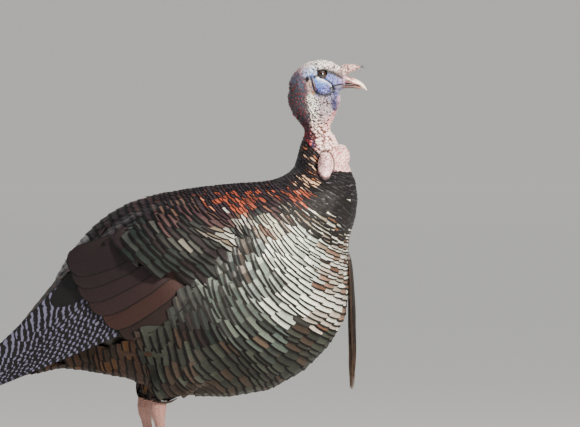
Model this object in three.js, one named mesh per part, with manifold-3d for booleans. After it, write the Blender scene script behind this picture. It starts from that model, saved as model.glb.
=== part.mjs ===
// A wild turkey gobbler, life size, standing still: neck drawn up, bill just open, snood pulled in,
// breast puffed out, wings folded low and tail hanging. Millimetres, +Z up. The bird faces +X and
// its left side is +Y. The origin is on the floor, below the middle of the bird's box.
import * as THREE from "three";
import { mergeVertices } from "three/addons/utils/BufferGeometryUtils.js";
import Module from "manifold-3d";

const wasm = await Module();
wasm.setup();

// ---------------------------------------------------------------- driving dimensions

const GAP = 0.35; // clearance between neighbouring solids
const GAP_STATION = 0.03; // the same clearance along the neck, in stations of its run
const STANCE = 62; // each foot from the midline
const TOE_JOINT_X = -34; // so that the weight falls on the middle of the toes
const STRIDE = 11; // right foot ahead of, and left foot behind, TOE_JOINT_X
const COVERT_EDGE = 60; // the wing coverts lie further out from the midline than this
const EYE = { x: 182.5, z: 678, out: 14.2, radius: 7.4 };

const COLOURS = {
  bareHead: 0xa9b4d6,
  wattle: 0xe8b9bd,
  bill: 0xe6cfc0,
  eye: 0x1a0f0b,
  breast: 0x6f7a68,
  back: 0x4a3530,
  coverts: 0x4b3a36,
  tertials: 0x4a332f,
  primaries: 0x6d6f78,
  tail: 0x3c2a26,
  beard: 0x15110f,
  thigh: 0x2b2522,
  leg: 0xb98a80,
  claw: 0x2a211c,
};

// Sections of the neck and trunk, from the throat to the rump. Each has its point on the back [x, z],
// its point on the front or belly, and its half width. egg moves the widest place towards the back.
const BODY = [
  { back: [135, 657], front: [208, 652], half: 23 },
  { back: [131.5, 643], front: [210, 643], half: 25 },
  { back: [138, 622], front: [204.5, 625], half: 24.5 },
  { back: [150, 606], front: [197.5, 610], half: 21 },
  { back: [158.5, 594], front: [192.5, 597.5], half: 18 },
  { back: [153, 580], front: [198.5, 586], half: 20.5 },
  { back: [148.5, 565], front: [206, 572], half: 27 },
  { back: [145, 550], front: [215, 556], half: 35 },
  { back: [138, 535], front: [224, 539], half: 45 },
  { back: [120, 523], front: [235, 509], half: 64, egg: 0.03 },
  { back: [96, 518], front: [234, 470], half: 86, egg: 0.06 },
  { back: [68, 516], front: [222, 428], half: 103, egg: 0.09 },
  { back: [42, 514], front: [222, 374], half: 114, egg: 0.12 },
  { back: [16, 511.5], front: [219, 317], half: 121, egg: 0.15 },
  { back: [-8, 508.5], front: [183, 260], half: 124, egg: 0.15 },
  { back: [-34, 504.5], front: [121, 212], half: 125, egg: 0.14 },
  { back: [-62, 499.5], front: [40, 195], half: 124, egg: 0.12 },
  { back: [-95, 490.5], front: [-32, 199], half: 119, egg: 0.1 },
  { back: [-129, 474.5], front: [-92, 215], half: 108, egg: 0.08 },
  { back: [-161, 450], front: [-140, 243], half: 90, egg: 0.05 },
  { back: [-191, 415], front: [-180, 272], half: 66 },
  { back: [-216, 375], front: [-212, 305], half: 40 },
];
const CUT = { throat: 0, nape: 5, collar: 8, rump: BODY.length - 1 }; // where the run is parted

// Sections of the head, from the back of the skull to the root of the bill.
const HEAD = [
  { back: [134.5, 668], front: [134.5, 656], half: 5 },
  { back: [139, 677], front: [138, 650], half: 13 },
  { back: [149, 688], front: [147, 646], half: 19 },
  { back: [162, 696], front: [161, 643], half: 22, egg: 0.05 },
  { back: [174, 699.5], front: [174, 642], half: 22, egg: 0 },
  { back: [186, 700], front: [187, 643.5], half: 20.5, egg: -0.05 },
  { back: [196.5, 697], front: [197, 648], half: 17.5, egg: -0.05 },
  { back: [205.5, 692], front: [206, 653], half: 13.5 },
  { back: [212, 687], front: [212.5, 656], half: 10.5 },
  { back: [217.5, 680.5], front: [217.5, 658], half: 8.5 },
];

// The bill's two halves, from the root to the tip; back is the upper edge and front the lower.
const BILL_UPPER = [
  { back: [212, 682], front: [212, 664], half: 9 },
  { back: [220.5, 677], front: [220.5, 664.2], half: 7.8, egg: -0.25 },
  { back: [228, 674], front: [227.5, 663.7], half: 6.8, egg: -0.25 },
  { back: [235, 671.2], front: [233.5, 662.2], half: 5.8, egg: -0.25 },
  { back: [241.5, 667.4], front: [239, 660.4], half: 4.5, egg: -0.2 },
  { back: [246.5, 662.6], front: [243.8, 658.4], half: 3, egg: -0.1 },
  { back: [249.6, 657.2], front: [247.8, 656], half: 1.4 },
  { back: [250.4, 654.6], front: [249.9, 654.4], half: 0.5 },
];
const BILL_LOWER = [
  { back: [200, 661.4], front: [200, 654], half: 9 },
  { back: [213, 661.6], front: [213, 656], half: 7.6 },
  { back: [225, 661], front: [224.5, 657], half: 6 },
  { back: [236, 659.4], front: [235.5, 656.4], half: 4.2 },
  { back: [242.5, 657.4], front: [242.2, 655.9], half: 1.8 },
];
const MOUTH = { corner: 199, reach: 60, open: 2.4, z: 661.7, width: 30 }; // the slit cut into the face

// The snood, drawn up into a short horn that points forwards.
const SNOOD = [
  { back: [212.5, 691.5], front: [214.5, 677.5], half: 5.6 },
  { back: [218, 693.2], front: [217.5, 678.6], half: 6.6 },
  { back: [224, 693.8], front: [222, 680.4], half: 6.2 },
  { back: [231, 693.2], front: [228.6, 683.4], half: 5 },
  { back: [237.4, 691.6], front: [235.6, 686.8], half: 3 },
  { back: [241.6, 689.8], front: [241.2, 688.9], half: 0.8 },
];

// Bare lobes at the foot of the neck: two side wattles and the cleft one in front.
const WATTLES = {
  wattle_right: { at: [188, -35, 543], size: [10.5, 9, 16.8] },
  wattle_left: { at: [188, 35, 543], size: [10.5, 9, 16.8] },
  wattle_front: { at: [210.5, 0, 554.5], size: [14, 19, 17.5] },
};

// The beard of bristles that hangs from the breast.
const BEARD = [
  { back: [217, 417], front: [226.5, 414], half: 4 },
  { back: [218.5, 408], front: [229.5, 407], half: 5.5 },
  { back: [222, 380], front: [230, 380], half: 6 },
  { back: [223, 340], front: [233.5, 340], half: 9 },
  { back: [222, 290], front: [235, 290], half: 11 },
  { back: [223, 245], front: [233.5, 245], half: 9 },
  { back: [226, 206], front: [229.5, 206], half: 3.5 },
];

// One folded wing in three layers, each from the front to the tip. mid is the layer's own plane,
// out from the midline; the coverts are a saddle over the trunk and have no mid.
const COVERTS = [
  { back: [70, 456], front: [69, 442], half: 100 },
  { back: [64, 470], front: [60, 426], half: 118 },
  { back: [46, 484], front: [38, 398], half: 130 },
  { back: [14, 493], front: [4, 368], half: 136 },
  { back: [-34, 495], front: [-36, 350], half: 139 },
  { back: [-84, 483], front: [-78, 344], half: 135 },
  { back: [-126, 460], front: [-112, 350], half: 124 },
  { back: [-156, 432], front: [-140, 368], half: 109 },
  { back: [-172, 412], front: [-160, 384], half: 92 },
];
const TERTIALS = [
  { back: [-40, 470], front: [10, 372], mid: 121, half: 3.5 },
  { back: [-108, 456], front: [-28, 318], mid: 120, half: 4.5 },
  { back: [-160, 418], front: [-78, 292], mid: 112, half: 4.5 },
  { back: [-184, 372], front: [-122, 296], mid: 100, half: 3.5 },
  { back: [-186, 344], front: [-150, 312], mid: 92, half: 1.6 },
];
const PRIMARIES = [
  { back: [-70, 430], front: [-40, 326], mid: 110, half: 3 },
  { back: [-120, 440], front: [-84, 286], mid: 106, half: 4 },
  { back: [-178, 404], front: [-146, 270], mid: 94, half: 4 },
  { back: [-238, 356], front: [-214, 246], mid: 80, half: 4 },
  { back: [-300, 300], front: [-284, 222], mid: 71, half: 3.6 },
  { back: [-358, 244], front: [-350, 202], mid: 68, half: 3 },
  { back: [-400, 204], front: [-398, 190], mid: 66, half: 1.5 },
];

// The closed tail, from under the rump to its tip, and the short feathers under its root.
const TAIL = [
  { back: [-150, 440], front: [-168, 392], half: 40 },
  { back: [-196, 406], front: [-212, 364], half: 49 },
  { back: [-250, 341], front: [-266, 306], half: 54 },
  { back: [-310, 268], front: [-324, 242], half: 57 },
  { back: [-370, 196], front: [-382, 178], half: 59 },
  { back: [-412, 146], front: [-421, 135], half: 58 },
  { back: [-428, 125], front: [-434, 118], half: 44 },
];
const VENT = [
  { back: [-150, 372], front: [-112, 222], half: 52 },
  { back: [-190, 356], front: [-160, 232], half: 50 },
  { back: [-238, 318], front: [-212, 238], half: 42 },
  { back: [-282, 272], front: [-262, 226], half: 28 },
  { back: [-304, 244], front: [-294, 228], half: 11 },
];

// One leg, in the frame of its own foot: x forwards from the toe joint, y out from the leg's plane.
const THIGH = [
  { back: [-38, 262], front: [66, 262], half: 40 },
  { back: [-50, 236], front: [40, 226], half: 33 },
  { back: [-54, 208], front: [4, 198], half: 21 },
  { back: [-50, 190], front: [-22, 185], half: 11 },
];
const SHANK = [
  { back: [-49, 193], front: [-26, 189], half: 6.8 },
  { back: [-50, 172], front: [-28, 168], half: 8.6 },
  { back: [-44, 156], front: [-29, 152], half: 6.2 },
  { back: [-29, 92], front: [-15.5, 90], half: 5.4 },
  { back: [-14, 34], front: [2, 34], half: 6.4 },
  { back: [-10, 17], front: [8, 19], half: 8.2 },
  { back: [-8, 5], front: [9, 6], half: 7.4 },
];
const SPUR = [
  { back: [-1, 67], front: [-1, 54], half: 4.4 },
  { back: [-12, 66.5], front: [-11.5, 57.5], half: 3.6 },
  { back: [-21, 69.5], front: [-19.5, 63.5], half: 2.2 },
  { back: [-27.5, 76.5], front: [-25.5, 74.5], half: 0.9 },
];
const SPUR_ROOT_X = -14; // the shank's own axis at the spur's height, which SPUR is measured from
const SPUR_TURN = 0.35; // radians that the spur leans inwards

// reach: length of the toe; turn: degrees outwards; root: radius at the foot; pads: swellings below
const TOES = {
  middle: { reach: 74, turn: -3, root: 6.6, pads: 3 },
  outer: { reach: 56, turn: 34, root: 5.8, pads: 3 },
  inner: { reach: 52, turn: -38, root: 5.8, pads: 2 },
  hallux: { reach: 22, turn: 168, root: 4.4, pads: 1 },
};
const TOE_TAPER = 0.4; // share of its radius that a toe loses towards its tip
const TOE_WAIST = 0.88; // radius between two pads, and
const TOE_PAD = 0.16; // what a pad adds, both in the tapering radius
const SOLE = 0.9; // height of a toe's axis over the floor, in its own radius
const CLAW = { length: 17, top: 1.25 };

// ---------------------------------------------------------------- making solids

const BALL_DETAIL = 2; // cuts in each edge of a twenty-sided ball

// A smooth run through the given sections. at(s) is the section at station number s.
function runThrough(sections) {
  const curve = (pick) =>
    new THREE.CatmullRomCurve3(sections.map((s) => new THREE.Vector3(...pick(s))));
  const back = curve((s) => [s.back[0], 0, s.back[1]]);
  const front = curve((s) => [s.front[0], 0, s.front[1]]);
  const width = curve((s) => [s.half, s.mid ?? 0, (s.egg ?? 0) * 100]);
  const last = sections.length - 1;
  return {
    last,
    at(station) {
      const u = THREE.MathUtils.clamp(station / last, 0, 1);
      const w = width.getPoint(u);
      return { back: back.getPoint(u), front: front.getPoint(u), half: w.x, mid: w.y, egg: w.z / 100 };
    },
  };
}

// One closed ring round a section. A square over 2 gives it flatter sides, grow makes it larger,
// and phase turns its corners by that share of a step.
function ringOf(section, around, square, grow, phase = 0) {
  const centre = section.back.clone().add(section.front).multiplyScalar(0.5);
  const depthAxis = section.back.clone().sub(section.front).multiplyScalar(0.5);
  const depth = depthAxis.length();
  depthAxis.normalize();
  const swell = (value) => Math.sign(value) * Math.abs(value) ** (2 / square);
  return Array.from({ length: around }, (_, k) => {
    const angle = (2 * Math.PI * (k + phase)) / around;
    const up = swell(Math.cos(angle));
    const out = swell(Math.sin(angle));
    const reach = up * (depth + grow) + section.egg * depth * out * out;
    return centre
      .clone()
      .addScaledVector(depthAxis, reach)
      .setY(section.mid + out * (section.half + grow));
  });
}

// A solid skin over rings of equal count, closed by a fan at each end.
function skinOver(rings) {
  const around = rings[0].length;
  const points = rings.flat();
  const faces = [];
  for (let i = 0; i + 1 < rings.length; i++)
    for (let k = 0; k < around; k++) {
      const [a, b] = [i * around + k, i * around + ((k + 1) % around)];
      faces.push(a, b, a + around, b, b + around, a + around);
    }
  for (const end of [0, rings.length - 1]) {
    const middle = rings[end]
      .reduce((sum, p) => sum.add(p), new THREE.Vector3())
      .divideScalar(around);
    points.push(middle);
    for (let k = 0; k < around; k++) {
      const [a, b] = [end * around + k, end * around + ((k + 1) % around)];
      faces.push(points.length - 1, ...(end === 0 ? [b, a] : [a, b]));
    }
  }
  const geometry = new THREE.BufferGeometry().setFromPoints(points);
  geometry.setIndex(faces);
  return solidFrom(geometry);
}

// A manifold solid from a closed geometry, turned so that its faces point out.
function solidFrom(source) {
  const bare = source.index ? source.toNonIndexed() : source.clone();
  for (const name of Object.keys(bare.attributes)) if (name !== "position") bare.deleteAttribute(name);
  const merged = mergeVertices(bare, 1e-3);
  const build = (triVerts) =>
    new wasm.Manifold(
      new wasm.Mesh({ numProp: 3, vertProperties: merged.attributes.position.array, triVerts }),
    );
  const triVerts = new Uint32Array(merged.index.array);
  const made = build(triVerts);
  if (made.volume() > 0) return made;
  for (let i = 0; i < triVerts.length; i += 3)
    [triVerts[i + 1], triVerts[i + 2]] = [triVerts[i + 2], triVerts[i + 1]];
  return build(triVerts);
}

// The solid along a run between two stations.
function bodyAlong(sections, options = {}) {
  const run = runThrough(sections);
  const { from = 0, to = run.last, steps = 12, around = 20, square = 2, grow = 0 } = options;
  const rings = Array.from({ length: steps + 1 }, (_, i) =>
    ringOf(run.at(from + ((to - from) * i) / steps), around, square, grow),
  );
  return skinOver(rings);
}

// An egg with its three half sizes.
function eggAt([x, y, z], [sx, sy, sz]) {
  const ball = new THREE.IcosahedronGeometry(1, BALL_DETAIL);
  return solidFrom(ball.scale(sx, sy, sz).translate(x, y, z));
}

function blockAt(centre, size) {
  return solidFrom(new THREE.BoxGeometry(...size).translate(...centre));
}

// Turns a solid by radians about +Z, then moves it.
function placed(solid, turn, offset) {
  const matrix = new THREE.Matrix4().makeRotationZ(turn).setPosition(...offset);
  return solid.transform(matrix.elements);
}

// Booleans can leave slivers beside the piece itself.
const largest = (solid) =>
  solid.decompose().reduce((best, part) => (part.volume() > best.volume() ? part : best));

// ---------------------------------------------------------------- the scene graph

const turkey = new THREE.Group();

function addPiece(name, solid, colour, { roughness = 0.8, metalness = 0 } = {}) {
  const { numProp, vertProperties, triVerts, numVert } = largest(solid).getMesh();
  const positions = new Float32Array(numVert * 3);
  for (let i = 0; i < numVert; i++)
    positions.set(vertProperties.subarray(i * numProp, i * numProp + 3), i * 3);
  const geometry = new THREE.BufferGeometry()
    .setAttribute("position", new THREE.BufferAttribute(positions, 3))
    .setIndex(new THREE.BufferAttribute(triVerts, 1));
  geometry.computeVertexNormals();
  const material = new THREE.MeshStandardMaterial({ color: colour, roughness, metalness });
  const mesh = new THREE.Mesh(geometry, material);
  mesh.name = name;
  turkey.add(mesh);
}

// Adds a left piece as made and its mirror image on the right.
function addPair(name, leftSolid, colour, finish) {
  addPiece(`${name}_left`, leftSolid, colour, finish);
  addPiece(`${name}_right`, leftSolid.mirror([0, 1, 0]), colour, finish);
}

// ---------------------------------------------------------------- neck and trunk

const trunkShape = { from: CUT.collar, steps: 18, around: 26 };
addPiece("trunk", bodyAlong(BODY, trunkShape), COLOURS.breast);
const trunkGrown = bodyAlong(BODY, { ...trunkShape, grow: GAP });

const headShape = { steps: 9, around: 18 };
const headGrown = bodyAlong(HEAD, { ...headShape, grow: GAP });

const neckShape = {
  from: CUT.nape + GAP_STATION,
  to: CUT.collar - GAP_STATION,
  steps: 5,
  around: 20,
};
addPiece("neck_lower", bodyAlong(BODY, neckShape), COLOURS.back);
const neckUpper = bodyAlong(BODY, { from: CUT.throat, to: CUT.nape, steps: 7, around: 18 });
addPiece("neck_upper", neckUpper.subtract(headGrown), COLOURS.bareHead);

const collarGrown = trunkGrown.add(bodyAlong(BODY, { ...neckShape, to: CUT.collar, grow: GAP }));
for (const [name, { at, size }] of Object.entries(WATTLES))
  addPiece(name, eggAt(at, size).subtract(collarGrown), COLOURS.wattle, { roughness: 0.6 });

// ---------------------------------------------------------------- head

function makeHead() {
  const skull = bodyAlong(HEAD, headShape);
  const slit = blockAt(
    [MOUTH.corner + MOUTH.reach / 2, 0, MOUTH.z + MOUTH.open / 2],
    [MOUTH.reach, MOUTH.width * 2, MOUTH.open],
  );
  const socket = EYE.radius + GAP;
  const sockets = [-1, 1].map((side) =>
    eggAt([EYE.x, side * EYE.out, EYE.z], [socket, socket, socket]),
  );
  return sockets.reduce((left, hole) => left.subtract(hole), skull.subtract(slit));
}

addPiece("head", makeHead(), COLOURS.bareHead);
const billShape = { steps: 9, around: 12 };
const upperBill = bodyAlong(BILL_UPPER, billShape);
addPiece("bill_upper", upperBill.subtract(headGrown), COLOURS.bill, { roughness: 0.45 });
const lowerBill = bodyAlong(BILL_LOWER, { steps: 5, around: 12 });
addPiece("bill_lower", lowerBill.subtract(headGrown), COLOURS.bill, { roughness: 0.45 });
const snood = bodyAlong(SNOOD, { steps: 8, around: 12 }).subtract(headGrown);
const billGrown = bodyAlong(BILL_UPPER, { ...billShape, grow: GAP });
addPiece("snood", snood.subtract(billGrown), COLOURS.wattle);
const eyeball = eggAt([EYE.x, EYE.out, EYE.z], [EYE.radius, EYE.radius, EYE.radius]);
addPair("eye", eyeball, COLOURS.eye, { roughness: 0.08 });

// ---------------------------------------------------------------- beard, tail and wings

const beard = bodyAlong(BEARD, { steps: 8, around: 8 }).subtract(trunkGrown);
addPiece("beard", beard, COLOURS.beard);

const tailShape = { steps: 7, around: 12, square: 2.6 };
const ventShape = { steps: 6, around: 14 };
const tail = bodyAlong(TAIL, tailShape).subtract(trunkGrown);
addPiece("tail", tail, COLOURS.tail, { roughness: 0.6 });
const tailGrown = bodyAlong(TAIL, { ...tailShape, grow: GAP });
const vent = bodyAlong(VENT, ventShape).subtract(trunkGrown).subtract(tailGrown);
addPiece("tail_underside", vent, COLOURS.back);
const rearGrown = trunkGrown.add(tailGrown).add(bodyAlong(VENT, { ...ventShape, grow: GAP }));

// The left wing's layers, from the innermost out. Each gives way to the ones inside it.
const SIDE = 1000; // larger than the bird
const leftSide = blockAt([0, COVERT_EDGE + SIDE / 2, 0], [2 * SIDE, SIDE, 2 * SIDE]);
const primariesShape = { steps: 9, around: 10, square: 2.6 };
const tertialsShape = { steps: 6, around: 10, square: 2.6 };
const primaries = bodyAlong(PRIMARIES, primariesShape).subtract(rearGrown);
const primariesGrown = bodyAlong(PRIMARIES, { ...primariesShape, grow: GAP });
const tertials = bodyAlong(TERTIALS, tertialsShape).subtract(rearGrown).subtract(primariesGrown);
const tertialsGrown = bodyAlong(TERTIALS, { ...tertialsShape, grow: GAP });
const coverts = bodyAlong(COVERTS, { steps: 9, around: 18, square: 3 })
  .intersect(leftSide)
  .subtract(rearGrown)
  .subtract(primariesGrown)
  .subtract(tertialsGrown);
addPair("wing_primaries", primaries, COLOURS.primaries, { roughness: 0.6 });
addPair("wing_tertials", tertials, COLOURS.tertials, { roughness: 0.6 });
addPair("wing_coverts", coverts, COLOURS.coverts, { roughness: 0.5 });

// ---------------------------------------------------------------- legs

// A skin over rings that are pressed flat where they would go below the floor.
function standingOn(rings) {
  for (const p of rings.flat()) p.setZ(Math.max(p.z, 0));
  return skinOver(rings);
}

// One toe along +X: a tapering rod with swollen pads, its underside level with the floor.
function makeToe({ reach, root, pads }, grow = 0) {
  const steps = pads * 2 + 1;
  const rings = Array.from({ length: steps + 1 }, (_, i) => {
    const t = i / steps;
    const pad = 0.5 - 0.5 * Math.cos(2 * Math.PI * pads * t);
    const radius = root * (1 - TOE_TAPER * t) * (TOE_WAIST + TOE_PAD * pad);
    const height = radius * SOLE;
    const section = {
      back: new THREE.Vector3(t * reach, 0, height + radius),
      front: new THREE.Vector3(t * reach, 0, height - radius),
      half: radius,
      mid: 0,
      egg: 0,
    };
    return ringOf(section, 8, 2, grow, 0.5);
  });
  return standingOn(rings);
}

// A hooked claw that follows on from the end of a toe, in the toe's own radius.
function makeClaw({ reach, root }) {
  const tip = reach + CLAW.length;
  const top = root * CLAW.top;
  const sections = [
    { back: [reach + GAP, top], front: [reach + GAP, 1.6], half: root * 0.42 },
    { back: [reach + 6, top], front: [reach + 5, 1.4], half: root * 0.36 },
    { back: [tip - 5, top * 0.75], front: [tip - 7, 0.9], half: root * 0.22 },
    { back: [tip, 1], front: [tip - 0.8, 0.3], half: 0.4 },
  ];
  return bodyAlong(sections, { steps: 4, around: 6 });
}

const shankShape = { steps: 9, around: 10 };

// side is -1 for the right leg and 1 for the left one.
function addLeg(word, side, jointX) {
  const foot = [jointX, side * STANCE, 0];
  const upright = (solid, turn = 0) => placed(solid, turn, foot);
  const shank = upright(bodyAlong(SHANK, shankShape));
  const shankGrown = upright(bodyAlong(SHANK, { ...shankShape, grow: GAP }));
  const thigh = upright(bodyAlong(THIGH, { steps: 5, around: 16 }));
  addPiece(`shank_${word}`, shank, COLOURS.leg, { roughness: 0.55 });
  addPiece(`thigh_${word}`, thigh.subtract(trunkGrown).subtract(shankGrown), COLOURS.thigh);
  const spurRoot = [jointX + SPUR_ROOT_X, side * STANCE, 0];
  const spur = placed(bodyAlong(SPUR, { steps: 4, around: 6 }), side * SPUR_TURN, spurRoot);
  addPiece(`spur_${word}`, spur.subtract(shankGrown), COLOURS.claw);

  let taken = shankGrown;
  for (const [toeName, toe] of Object.entries(TOES)) {
    const turn = side * THREE.MathUtils.degToRad(toe.turn);
    const toeSolid = upright(makeToe(toe), turn).subtract(taken);
    addPiece(`toe_${toeName}_${word}`, toeSolid, COLOURS.leg, { roughness: 0.55 });
    addPiece(`claw_${toeName}_${word}`, upright(makeClaw(toe), turn), COLOURS.claw);
    taken = taken.add(upright(makeToe(toe, GAP), turn));
  }
}

addLeg("right", -1, TOE_JOINT_X + STRIDE);
addLeg("left", 1, TOE_JOINT_X - STRIDE);

// ---------------------------------------------------------------- the bird's own frame

const box = new THREE.Box3().setFromObject(turkey);
turkey.position.x = -(box.min.x + box.max.x) / 2;
turkey.position.z = -box.min.z;

export default turkey;
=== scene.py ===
"""A wild turkey gobbler, life size, standing with the head up and the bill open.

The skin, bill, eyes, feathers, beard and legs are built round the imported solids, in metres. Sizes in
the tables are millimetres in the bird's own frame: x forwards, y to its left, z up from the floor.
"""
import math

import bpy
import numpy as np
from bpy.props import FloatProperty, FloatVectorProperty, IntProperty, PointerProperty
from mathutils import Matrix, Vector
from mathutils.bvhtree import BVHTree
from mathutils.kdtree import KDTree


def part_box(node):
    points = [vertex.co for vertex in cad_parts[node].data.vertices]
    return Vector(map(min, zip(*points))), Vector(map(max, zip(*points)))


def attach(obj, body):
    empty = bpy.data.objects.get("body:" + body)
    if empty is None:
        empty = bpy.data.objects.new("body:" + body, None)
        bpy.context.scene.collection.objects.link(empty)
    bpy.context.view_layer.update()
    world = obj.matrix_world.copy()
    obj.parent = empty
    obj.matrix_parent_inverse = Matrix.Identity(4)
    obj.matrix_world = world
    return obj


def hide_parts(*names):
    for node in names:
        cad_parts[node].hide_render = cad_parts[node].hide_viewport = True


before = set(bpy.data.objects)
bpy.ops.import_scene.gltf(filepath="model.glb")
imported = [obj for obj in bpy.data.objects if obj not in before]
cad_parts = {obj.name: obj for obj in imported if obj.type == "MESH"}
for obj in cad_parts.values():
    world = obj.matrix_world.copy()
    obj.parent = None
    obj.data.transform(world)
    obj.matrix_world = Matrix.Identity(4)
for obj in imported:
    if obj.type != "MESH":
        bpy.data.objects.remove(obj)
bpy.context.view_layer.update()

bl_info = {
    "name": "Wild turkey gobbler",
    "version": (1, 0, 0),
    "blender": (4, 5, 0),
    "location": "3D View > Sidebar > Turkey",
    "description": "Dresses the solids of a wild turkey with skin, feathers, bill, eyes and legs",
    "category": "Add Mesh",
}

EYE = {"x": 182.5, "z": 678.0, "out": 14.2}
SHIFT = sum(corner.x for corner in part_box("eye_right")) * 500 - EYE["x"]  # own x to the frame's x, mm
SIDES = {"right": -1, "left": 1}


def paint(code):
    """A palette colour, #rrggbb, as linear red, green and blue."""
    parts = [int(code[i : i + 2], 16) / 255 for i in (1, 3, 5)]
    return tuple(c / 12.92 if c <= 0.04045 else ((c + 0.055) / 1.055) ** 2.4 for c in parts)


def all_over(code, count):
    """One palette colour on every point."""
    return np.tile(paint(code), (count, 1)).astype(float)


def along_surface(ways, normals):
    """Ways laid flat on the surface, at length 1."""
    return unit(ways - normals * (ways * normals).sum(axis=1, keepdims=True))


def each(values):
    """One value or vector for each feather, to work with its grid of rows and columns."""
    return np.asarray(values)[:, None, None]


def unit(rows):
    """Vectors, one in each row, at length 1."""
    return rows / np.maximum(np.linalg.norm(rows, axis=-1, keepdims=True), 1e-9)


def ease(values, low, high):
    """0 below low, 1 above high and smooth between."""
    t = np.clip((np.asarray(values, float) - low) / (high - low), 0, 1)
    return t * t * (3 - 2 * t)


def to_frame(points):
    """Own millimetres to the frame's metres."""
    out = np.array(points, float)
    out[..., 0] += SHIFT
    return out / 1000


def to_own(points):
    """The frame's metres to own millimetres."""
    out = np.array(points, float) * 1000
    out[..., 0] -= SHIFT
    return out


# ---- sizes and colours to change


class TurkeySettings(bpy.types.PropertyGroup):
    """Sizes and colours of the bird."""

    coat_depth: FloatProperty(
        name="Coat depth", description="From the feathers' outside to the skin", default=0.0062,
        min=0.002, max=0.012, unit="LENGTH")
    feather_lift: FloatProperty(
        name="Feather lift", description="How far a feather's tip stands over its root",
        default=0.004, min=0.001, max=0.008, unit="LENGTH")
    row_spacing: FloatProperty(
        name="Row spacing", description="Distance between rows, as a share of the usual",
        default=1.0, min=0.7, max=2.0)
    bead_height: FloatProperty(
        name="Bead height", description="Height of the neck's warts, as a share of the usual",
        default=1.0, min=0.0, max=2.0)
    eye_radius: FloatProperty(
        name="Eye radius", description="Radius of the eyeball", default=0.0074,
        min=0.005, max=0.009, unit="LENGTH")
    beard_strands: IntProperty(
        name="Beard strands", description="Number of bristles in the beard", default=230, min=40,
        max=400)
    tip_colour: FloatVectorProperty(
        name="Feather tips", description="Colour of the bands at the feathers' tips",
        subtype="COLOR", size=3, default=paint("#0d0b0e"), min=0, max=1)
    iris_colour: FloatVectorProperty(
        name="Iris", description="Colour of the iris", subtype="COLOR", size=3,
        default=paint("#24120b"), min=0, max=1)
    leg_colour: FloatVectorProperty(
        name="Leg", description="Colour of the scales on the legs", subtype="COLOR", size=3,
        default=paint("#96706a"), min=0, max=1)
    claw_colour: FloatVectorProperty(
        name="Claw", description="Colour of the claws and spurs", subtype="COLOR", size=3,
        default=paint("#2a211c"), min=0, max=1)
    view_width: FloatProperty(
        name="View width", description="Width seen by the camera at the bird", default=0.87,
        min=0.5, max=2, unit="LENGTH")


def settings():
    """The values set in the panel."""
    return bpy.context.scene.turkey


# ---- meshes


def mode(name):
    """Changes to edit mode or object mode."""
    bpy.ops.object.mode_set(mode=name)


def new_object(name, data):
    """An object in the scene."""
    obj = bpy.data.objects.new(name, data)
    bpy.context.collection.objects.link(obj)
    return obj


def deselect():
    """Leaves nothing selected, in object mode."""
    if bpy.context.mode != "OBJECT":
        mode("OBJECT")
    bpy.ops.object.select_all(action="DESELECT")


def activate(obj):
    """Selects one object alone."""
    deselect()
    obj.select_set(True)
    bpy.context.view_layer.objects.active = obj
    return obj


def apply_modifier(obj, kind, **values):
    """Adds one modifier with the values given and applies it."""
    activate(obj)
    modifier = obj.modifiers.new(kind.title(), kind)
    for key, value in values.items():
        setattr(modifier, key, value)
    bpy.ops.object.modifier_apply(modifier=modifier.name)


def copy_nodes(names, name):
    """One mesh object holding merged copies of the solids' nodes."""
    deselect()
    for node in names:
        copy = new_object(node + "_copy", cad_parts[node].data.copy())
        copy.select_set(True)
        bpy.context.view_layer.objects.active = copy
    if len(names) > 1:
        bpy.ops.object.join()
    piece = bpy.context.view_layer.objects.active
    piece.name = piece.data.name = name
    piece.data.materials.clear()
    mode("EDIT")
    bpy.ops.mesh.select_all(action="SELECT")
    bpy.ops.mesh.remove_doubles(threshold=1e-6)
    bpy.ops.mesh.normals_make_consistent(inside=False)
    mode("OBJECT")
    return piece


def rounded_copy(names, name, voxel, smooth, grow=0.0):
    """The nodes as one closed, softened surface. Lengths are in millimetres."""
    piece = copy_nodes(names, name)
    if grow:
        apply_modifier(piece, "DISPLACE", strength=grow / 1000, mid_level=0)
    apply_modifier(piece, "REMESH", mode="VOXEL", voxel_size=voxel / 1000)
    if smooth:
        apply_modifier(piece, "SMOOTH", factor=0.5, iterations=smooth)
    return piece


def points_of(obj):
    """The vertices in own millimetres."""
    flat = np.empty(len(obj.data.vertices) * 3, np.float32)
    obj.data.vertices.foreach_get("co", flat)
    return to_own(flat.reshape(-1, 3))


def normals_of(obj):
    """The softened normal at each vertex."""
    flat = np.empty(len(obj.data.vertices) * 3, np.float32)
    obj.data.vertex_normals.foreach_get("vector", flat)
    return flat.reshape(-1, 3).astype(float)


def move_points(obj, points):
    """Puts the vertices at places given in own millimetres."""
    obj.data.vertices.foreach_set("co", to_frame(points).astype(np.float32).ravel())
    obj.data.update()


def colour_points(obj, colours):
    """Stores one colour a vertex; a missing alpha is 1."""
    if colours.shape[1] == 3:
        colours = np.hstack([colours, np.ones((len(colours), 1))])
    layer = obj.data.color_attributes.new("Tint", "FLOAT_COLOR", "POINT")
    layer.data.foreach_set("color", colours.astype(np.float32).ravel())


def mesh_from(name, points, quads):
    """A mesh object from own millimetres and four corners a face."""
    mesh = bpy.data.meshes.new(name)
    mesh.vertices.add(len(points))
    mesh.vertices.foreach_set("co", to_frame(points).astype(np.float32).ravel())
    mesh.loops.add(quads.size)
    mesh.loops.foreach_set("vertex_index", quads.astype(np.int32).ravel())
    mesh.polygons.add(len(quads))
    mesh.polygons.foreach_set("loop_start", np.arange(0, quads.size, 4, dtype=np.int32))
    mesh.update(calc_edges=True)
    mesh.validate()
    return new_object(name, mesh)


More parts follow.
